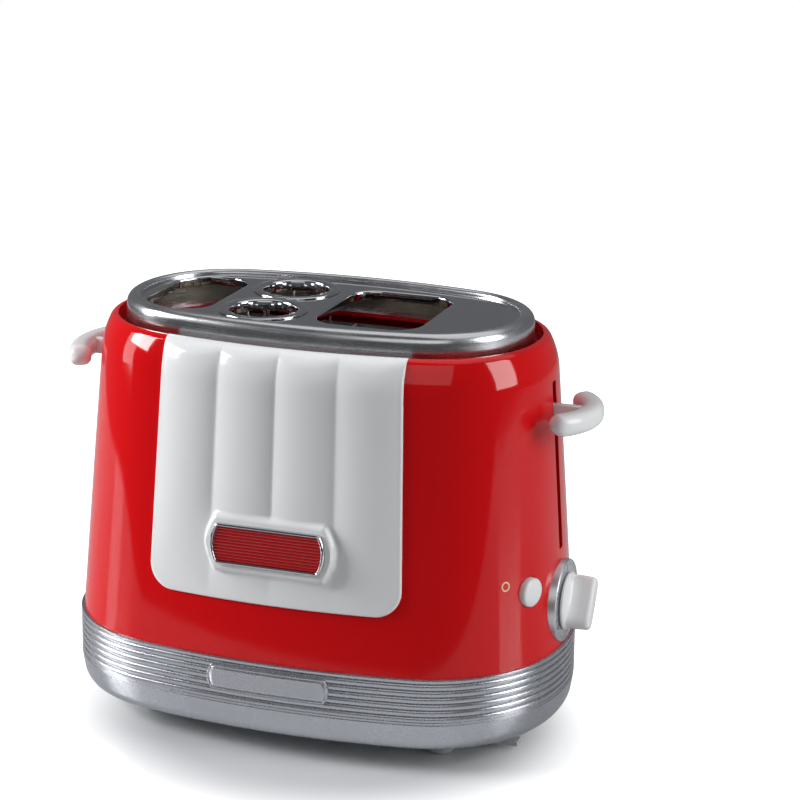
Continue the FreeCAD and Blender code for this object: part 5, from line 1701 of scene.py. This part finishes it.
@dataclass
class Springs:
    """A pair of lift springs, each wound round its guide rod."""

    side: str
    sign: int
    high: float
    keep: float
    low: float = 54.15
    place: float = 109.0
    spread: float = 24.0
    radius: float = 3.15
    wire: float = 0.45
    pitch: float = 5.2
    turn_steps: int = 14

    def build(self) -> None:
        """Builds both springs."""
        draft = Draft()
        turns = round((self.high - self.low) / self.pitch)
        steps = turns * self.turn_steps
        end = self.wire + 0.1
        for across in (-1, 1):
            path = []
            for step in range(steps + 1):
                angle = 2 * math.pi * step / self.turn_steps
                rise = self.low + end + (self.high - self.low - 2 * end) * step / steps
                x = self.sign * self.place + self.radius * math.cos(angle)
                path.append(Vector((x, across * self.spread + self.radius * math.sin(angle), rise)))
            draft.tube(path, self.wire, 6)
        piece = draft.make(self.side + "_wound_springs", 70)
        settle(piece, "toaster", SPRING_STEEL, [self.side + "_lift_springs"])
        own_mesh(piece)


@dataclass
class Cage:
    """A sausage cage: upright wires under the ring, tied by open hoops."""

    label: str
    sign: int
    radius: float = 18.4
    upright: float = 0.7
    hoop: float = 0.9
    low: float = 88.0
    high: float = 218.0
    opening: float = 22.0
    wires: int = 6

    def build(self) -> None:
        """Builds the wires."""
        draft = Draft()
        centre = Vector((TRAY.hole_x, self.sign * TRAY.hole_y, 0))
        facing = 90 if self.sign < 0 else -90
        step = (360 - 2 * self.opening) / self.wires
        for place in range(self.wires):
            angle = math.radians(facing + self.opening + step * (place + 0.5))
            foot = centre + Vector((math.cos(angle), math.sin(angle), 0)) * self.radius
            run = [foot + Vector((0, 0, self.low + (self.high - self.low) * share / 6)) for share in range(7)]
            draft.tube(run, self.upright, 10)
        for z in (self.low, (self.low + self.high) / 2):
            path = []
            for place in range(61):
                angle = math.radians(facing + self.opening + (360 - 2 * self.opening) * place / 60)
                way = Vector((math.cos(angle), math.sin(angle), 0))
                path.append(centre + way * self.radius + Vector((0, 0, z)))
            draft.tube(path, self.hoop, 10)
        piece = draft.make(self.label + "_cage_wires", 50)
        settle(piece, self.label + "_cage", NICKEL_WIRE, [self.label + "_sausage_cage"])


# Nodes that keep their solid shape


KEPT: dict[str, Finish] = {
    "bottom_cover": GREY_POLYAMIDE,
    "cover_screws": ZINC_STEEL,
    "front_cord_cleat": GREY_POLYAMIDE,
    "back_cord_cleat": GREY_POLYAMIDE,
    "cord_gland": BLACK_RUBBER,
    "timer_body": BLACK_PHENOLIC,
    "button_switch": BLACK_PHENOLIC,
    "left_carriage": ZINC_STEEL,
    "right_carriage": ZINC_STEEL,
    "left_bun_rack": NICKEL_WIRE,
    "right_bun_rack": NICKEL_WIRE,
    "sausage_lift": NICKEL_WIRE,
    "left_guide_rods": NICKEL_WIRE,
    "right_guide_rods": NICKEL_WIRE,
    "left_rod_bridge": ZINC_STEEL,
    "right_rod_bridge": ZINC_STEEL,
    "left_latch_magnet": MAGNET_IRON,
    "right_latch_magnet": MAGNET_IRON,
    "left_end_plate": ZINC_STEEL,
    "right_end_plate": ZINC_STEEL,
    "left_bun_guard": NICKEL_WIRE,
    "right_bun_guard": NICKEL_WIRE,
    "chassis_floor": ZINC_STEEL,
    "front_heat_shield": ZINC_STEEL,
    "back_heat_shield": ZINC_STEEL,
    "left_outer_board": MICA,
    "left_inner_board": MICA,
    "right_inner_board": MICA,
    "right_outer_board": MICA,
    "circuit_board": GREEN_BOARD,
}


def finish_kept_nodes() -> None:
    """Gives each solid that stays its real surface."""
    for name, finish in KEPT.items():
        data = frame["nodes"][name].data
        data.materials.clear()
        data.materials.append(finish.material())
        LOG.info("%s keeps its solid in %s", name, finish.name)


# Studio


@dataclass
class Studio:
    """A pale floor, soft lamps and the camera.

    The camera's place and the lamps are in metres, the floor's table in millimetres. The floor keeps
    a painted shadow, its own grey left unlifted for the camera, in an ellipse round the object and a
    little in front of it, which the ellipse's scale and place turn into a circle of radius one. From
    there it fades to plain white between the two distances of fade, and it is raised between the
    first two of lift by up to the third, so that the painted shadow lightens outward.
    """

    camera_at: Point = (0.45827, -1.21603, 0.54542)
    right: Point = (0.94442, 0.32847, 0.01329)
    up: Point = (-0.10298, 0.25719, 0.96086)
    back: Point = (0.31219, -0.90882, 0.27672)
    lens: float = 113.86
    table: tuple = (1200.0, 750.0, 330.0)
    table_right: float = 350.0
    # The painted shadow's ellipse on the floor: its place, a little to the front, and its scale.
    shade_at: Point = (-0.1, 0.33, 0.0)
    shade_scale: Point = (9.8, 11.1, 1.0)
    fade: tuple = (1.0, 2.0)
    lift: tuple = (0.85, 1.45, 0.5)
    room_run: tuple = (-0.35, 0.8)
    room_light: tuple = (0.09, 0.17)
    lamps: tuple = (
        ("key_lamp", (-1.85, -0.7, 1.1), (0.0, 0.0, 0.12), (0.9, 0.9), 50.0),
        ("fill_lamp", (0.6, -2.0, 1.5), (0.0, 0.0, 0.12), (2.0, 1.5), 8.0),
        ("left_strip", (-1.05, -0.24, 0.46), (0.0, 0.0, 0.3), (0.26, 0.84), 2.4),
        ("right_strip", (1.25, -0.02, 0.62), (0.0, 0.0, 0.3), (0.5, 0.9), 10.0),
        ("top_lamp", (0.2, 0.5, 1.8), (0.0, 0.0, 0.12), (2.4, 1.6), 9.0),
    )

    def build_camera(self) -> None:
        """Sets the camera where the photograph was taken from."""
        data = bpy.data.cameras.new("view")
        data.lens = self.lens
        data.sensor_width = 36.0
        data.clip_end = 50.0
        camera = bpy.data.objects.new("view", data)
        rows = [
            (self.right[part], self.up[part], self.back[part], self.camera_at[part]) for part in range(3)
        ]
        camera.matrix_world = Matrix(rows + [(0, 0, 0, 1)])
        bpy.context.scene.collection.objects.link(camera)
        bpy.context.scene.camera = camera

    def build_lamp(self, name: str, at: Point, aim: Point, size: tuple[float, float], power: float) -> None:
        """Adds a soft rectangular lamp that faces a point.

        Args:
            name: The lamp's name.
            at: Its place.
            aim: The point that it faces.
            size: Its width and height.
            power: Its power in watts.
        """
        data = bpy.data.lights.new(name, "AREA")
        data.shape = "RECTANGLE"
        data.size = size[0]
        data.size_y = size[1]
        data.energy = power
        lamp = bpy.data.objects.new(name, data)
        lamp.location = at
        lamp.rotation_euler = (Vector(at) - Vector(aim)).to_track_quat("Z", "Y").to_euler()
        bpy.context.scene.collection.objects.link(lamp)

    def build_floor(self) -> None:
        """Builds the pale floor, with a low sheen that keeps a soft reflection, and a painted shadow round
        the object.
        """
        draft = Draft()
        long, short, front = self.table
        rim = rounded_bar(long, short, 300.0, 12)
        right = self.table_right
        draft.stack([[(x + right, y + short - front, z) for x, y in rim] for z in (-30.0, 0.0)])
        floor = draft.make("studio_floor")
        made = bpy.data.materials.new("pale_board_painted_shadow")
        made.use_nodes = True
        tree = made.node_tree
        tree.nodes.clear()
        place = add_node(tree, "ShaderNodeTexCoord", {}, {})
        cloud = add_node(tree, "ShaderNodeTexNoise", {}, {"Vector": place.outputs["Object"], "Scale": 4.0})
        tint = add_node(
            tree, "ShaderNodeMix", {"data_type": "RGBA"},
            {0: cloud.outputs["Fac"], 6: linear("#C6C8CB"), 7: linear("#CBCDCF")},
        )
        shader = add_node(
            tree, "ShaderNodeBsdfPrincipled", {},
            {"Base Color": tint.outputs[2], "Roughness": 0.22, "IOR": 1.45},
        )
        path = add_node(tree, "ShaderNodeLightPath", {}, {})
        # Painted shadow: near the object the floor keeps its grey for the camera; farther out it fades and is
        # lifted to white.
        painted_shadow_ellipse = add_node(
            tree, "ShaderNodeMapping", {},
            {"Vector": place.outputs["Object"], "Location": self.shade_at, "Scale": self.shade_scale},
        )
        far = add_node(
            tree, "ShaderNodeVectorMath", {"operation": "LENGTH"}, {"Vector": painted_shadow_ellipse.outputs["Vector"]}
        )
        fade = add_node(
            tree, "ShaderNodeMapRange", {"interpolation_type": "SMOOTHSTEP"},
            {"Value": far.outputs["Value"], "From Min": self.fade[0], "From Max": self.fade[1]},
        )
        shown = add_node(
            tree, "ShaderNodeMath", {"operation": "MULTIPLY"},
            {0: fade.outputs["Result"], 1: path.outputs["Is Camera Ray"]},
        )
        white = add_node(tree, "ShaderNodeEmission", {}, {"Color": (1, 1, 1, 1), "Strength": 1.0})
        both = add_node(
            tree, "ShaderNodeMixShader", {},
            {0: shown.outputs[0], 1: shader.outputs["BSDF"], 2: white.outputs["Emission"]},
        )
        near = add_node(
            tree, "ShaderNodeMapRange", {"interpolation_type": "SMOOTHSTEP"},
            {"Value": far.outputs["Value"], "From Min": self.lift[0], "From Max": self.lift[1],
             "To Min": 0.0, "To Max": self.lift[2]},
        )
        raised = add_node(
            tree, "ShaderNodeMath", {"operation": "MULTIPLY"},
            {0: path.outputs["Is Camera Ray"], 1: near.outputs["Result"]},
        )
        lift = add_node(
            tree, "ShaderNodeEmission", {}, {"Color": (1, 1, 1, 1), "Strength": raised.outputs[0]}
        )
        whole = add_node(
            tree, "ShaderNodeAddShader", {}, {0: both.outputs["Shader"], 1: lift.outputs["Emission"]}
        )
        add_node(tree, "ShaderNodeOutputMaterial", {}, {"Surface": whole.outputs["Shader"]})
        floor.data.materials.append(made)

    def build_world(self) -> None:
        """Lights the room softly, a little more from behind, and shows white behind the object."""
        world = bpy.data.worlds.new("studio_room")
        world.use_nodes = True
        tree = world.node_tree
        tree.nodes.clear()
        path = add_node(tree, "ShaderNodeLightPath", {}, {})
        seen = add_node(
            tree, "ShaderNodeMath", {"operation": "MAXIMUM"},
            {0: path.outputs["Is Camera Ray"], 1: path.outputs["Is Transmission Ray"]},
        )
        way = add_node(tree, "ShaderNodeTexCoord", {}, {})
        parts = add_node(tree, "ShaderNodeSeparateXYZ", {}, {"Vector": way.outputs["Generated"]})
        level = add_node(
            tree, "ShaderNodeMapRange", {"interpolation_type": "SMOOTHSTEP"},
            {"Value": parts.outputs["Y"], "From Min": self.room_run[0], "From Max": self.room_run[1],
             "To Min": self.room_light[0], "To Max": self.room_light[1]},
        )
        plain = add_node(
            tree, "ShaderNodeBackground", {},
            {"Color": linear("#F1F4F8"), "Strength": level.outputs["Result"]},
        )
        white = add_node(tree, "ShaderNodeBackground", {}, {"Color": (1, 1, 1, 1), "Strength": 1.0})
        both = add_node(
            tree, "ShaderNodeMixShader", {},
            {0: seen.outputs[0], 1: plain.outputs["Background"], 2: white.outputs["Background"]},
        )
        add_node(tree, "ShaderNodeOutputWorld", {}, {"Surface": both.outputs["Shader"]})
        bpy.context.scene.world = world

    def build(self) -> None:
        """Sets up the whole studio."""
        scene = bpy.context.scene
        scene.view_settings.view_transform = "Standard"
        self.build_camera()
        self.build_floor()
        self.build_world()
        for lamp in self.lamps:
            self.build_lamp(*lamp)


SHELL = Shell()
FRONT_PANEL = FrontPanel()
BADGE = Badge()
TRAY = Tray()


def main() -> None:
    """Builds every piece in order, from the body outward."""
    dial = Dial()
    button = Button()
    SHELL.build(dial, button)
    FRONT_PANEL.build()
    BADGE.build()
    TRAY.build()
    Base().build()
    dial.build()
    button.build()
    Lever("left", -1, 188.0, 146.6, 6.0).build()
    Lever("right", 1, 178.0, 150.6, 9.6).build()
    Springs("left", -1, 179.0, 0.4233).build()
    Springs("right", 1, 169.0, 0.4602).build()
    Cage("front", -1).build()
    Cage("back", 1).build()
    finish_kept_nodes()
    Studio().build()


if __name__ == "__main__":
    logging.basicConfig(level=logging.INFO, format="%(message)s")
    main()
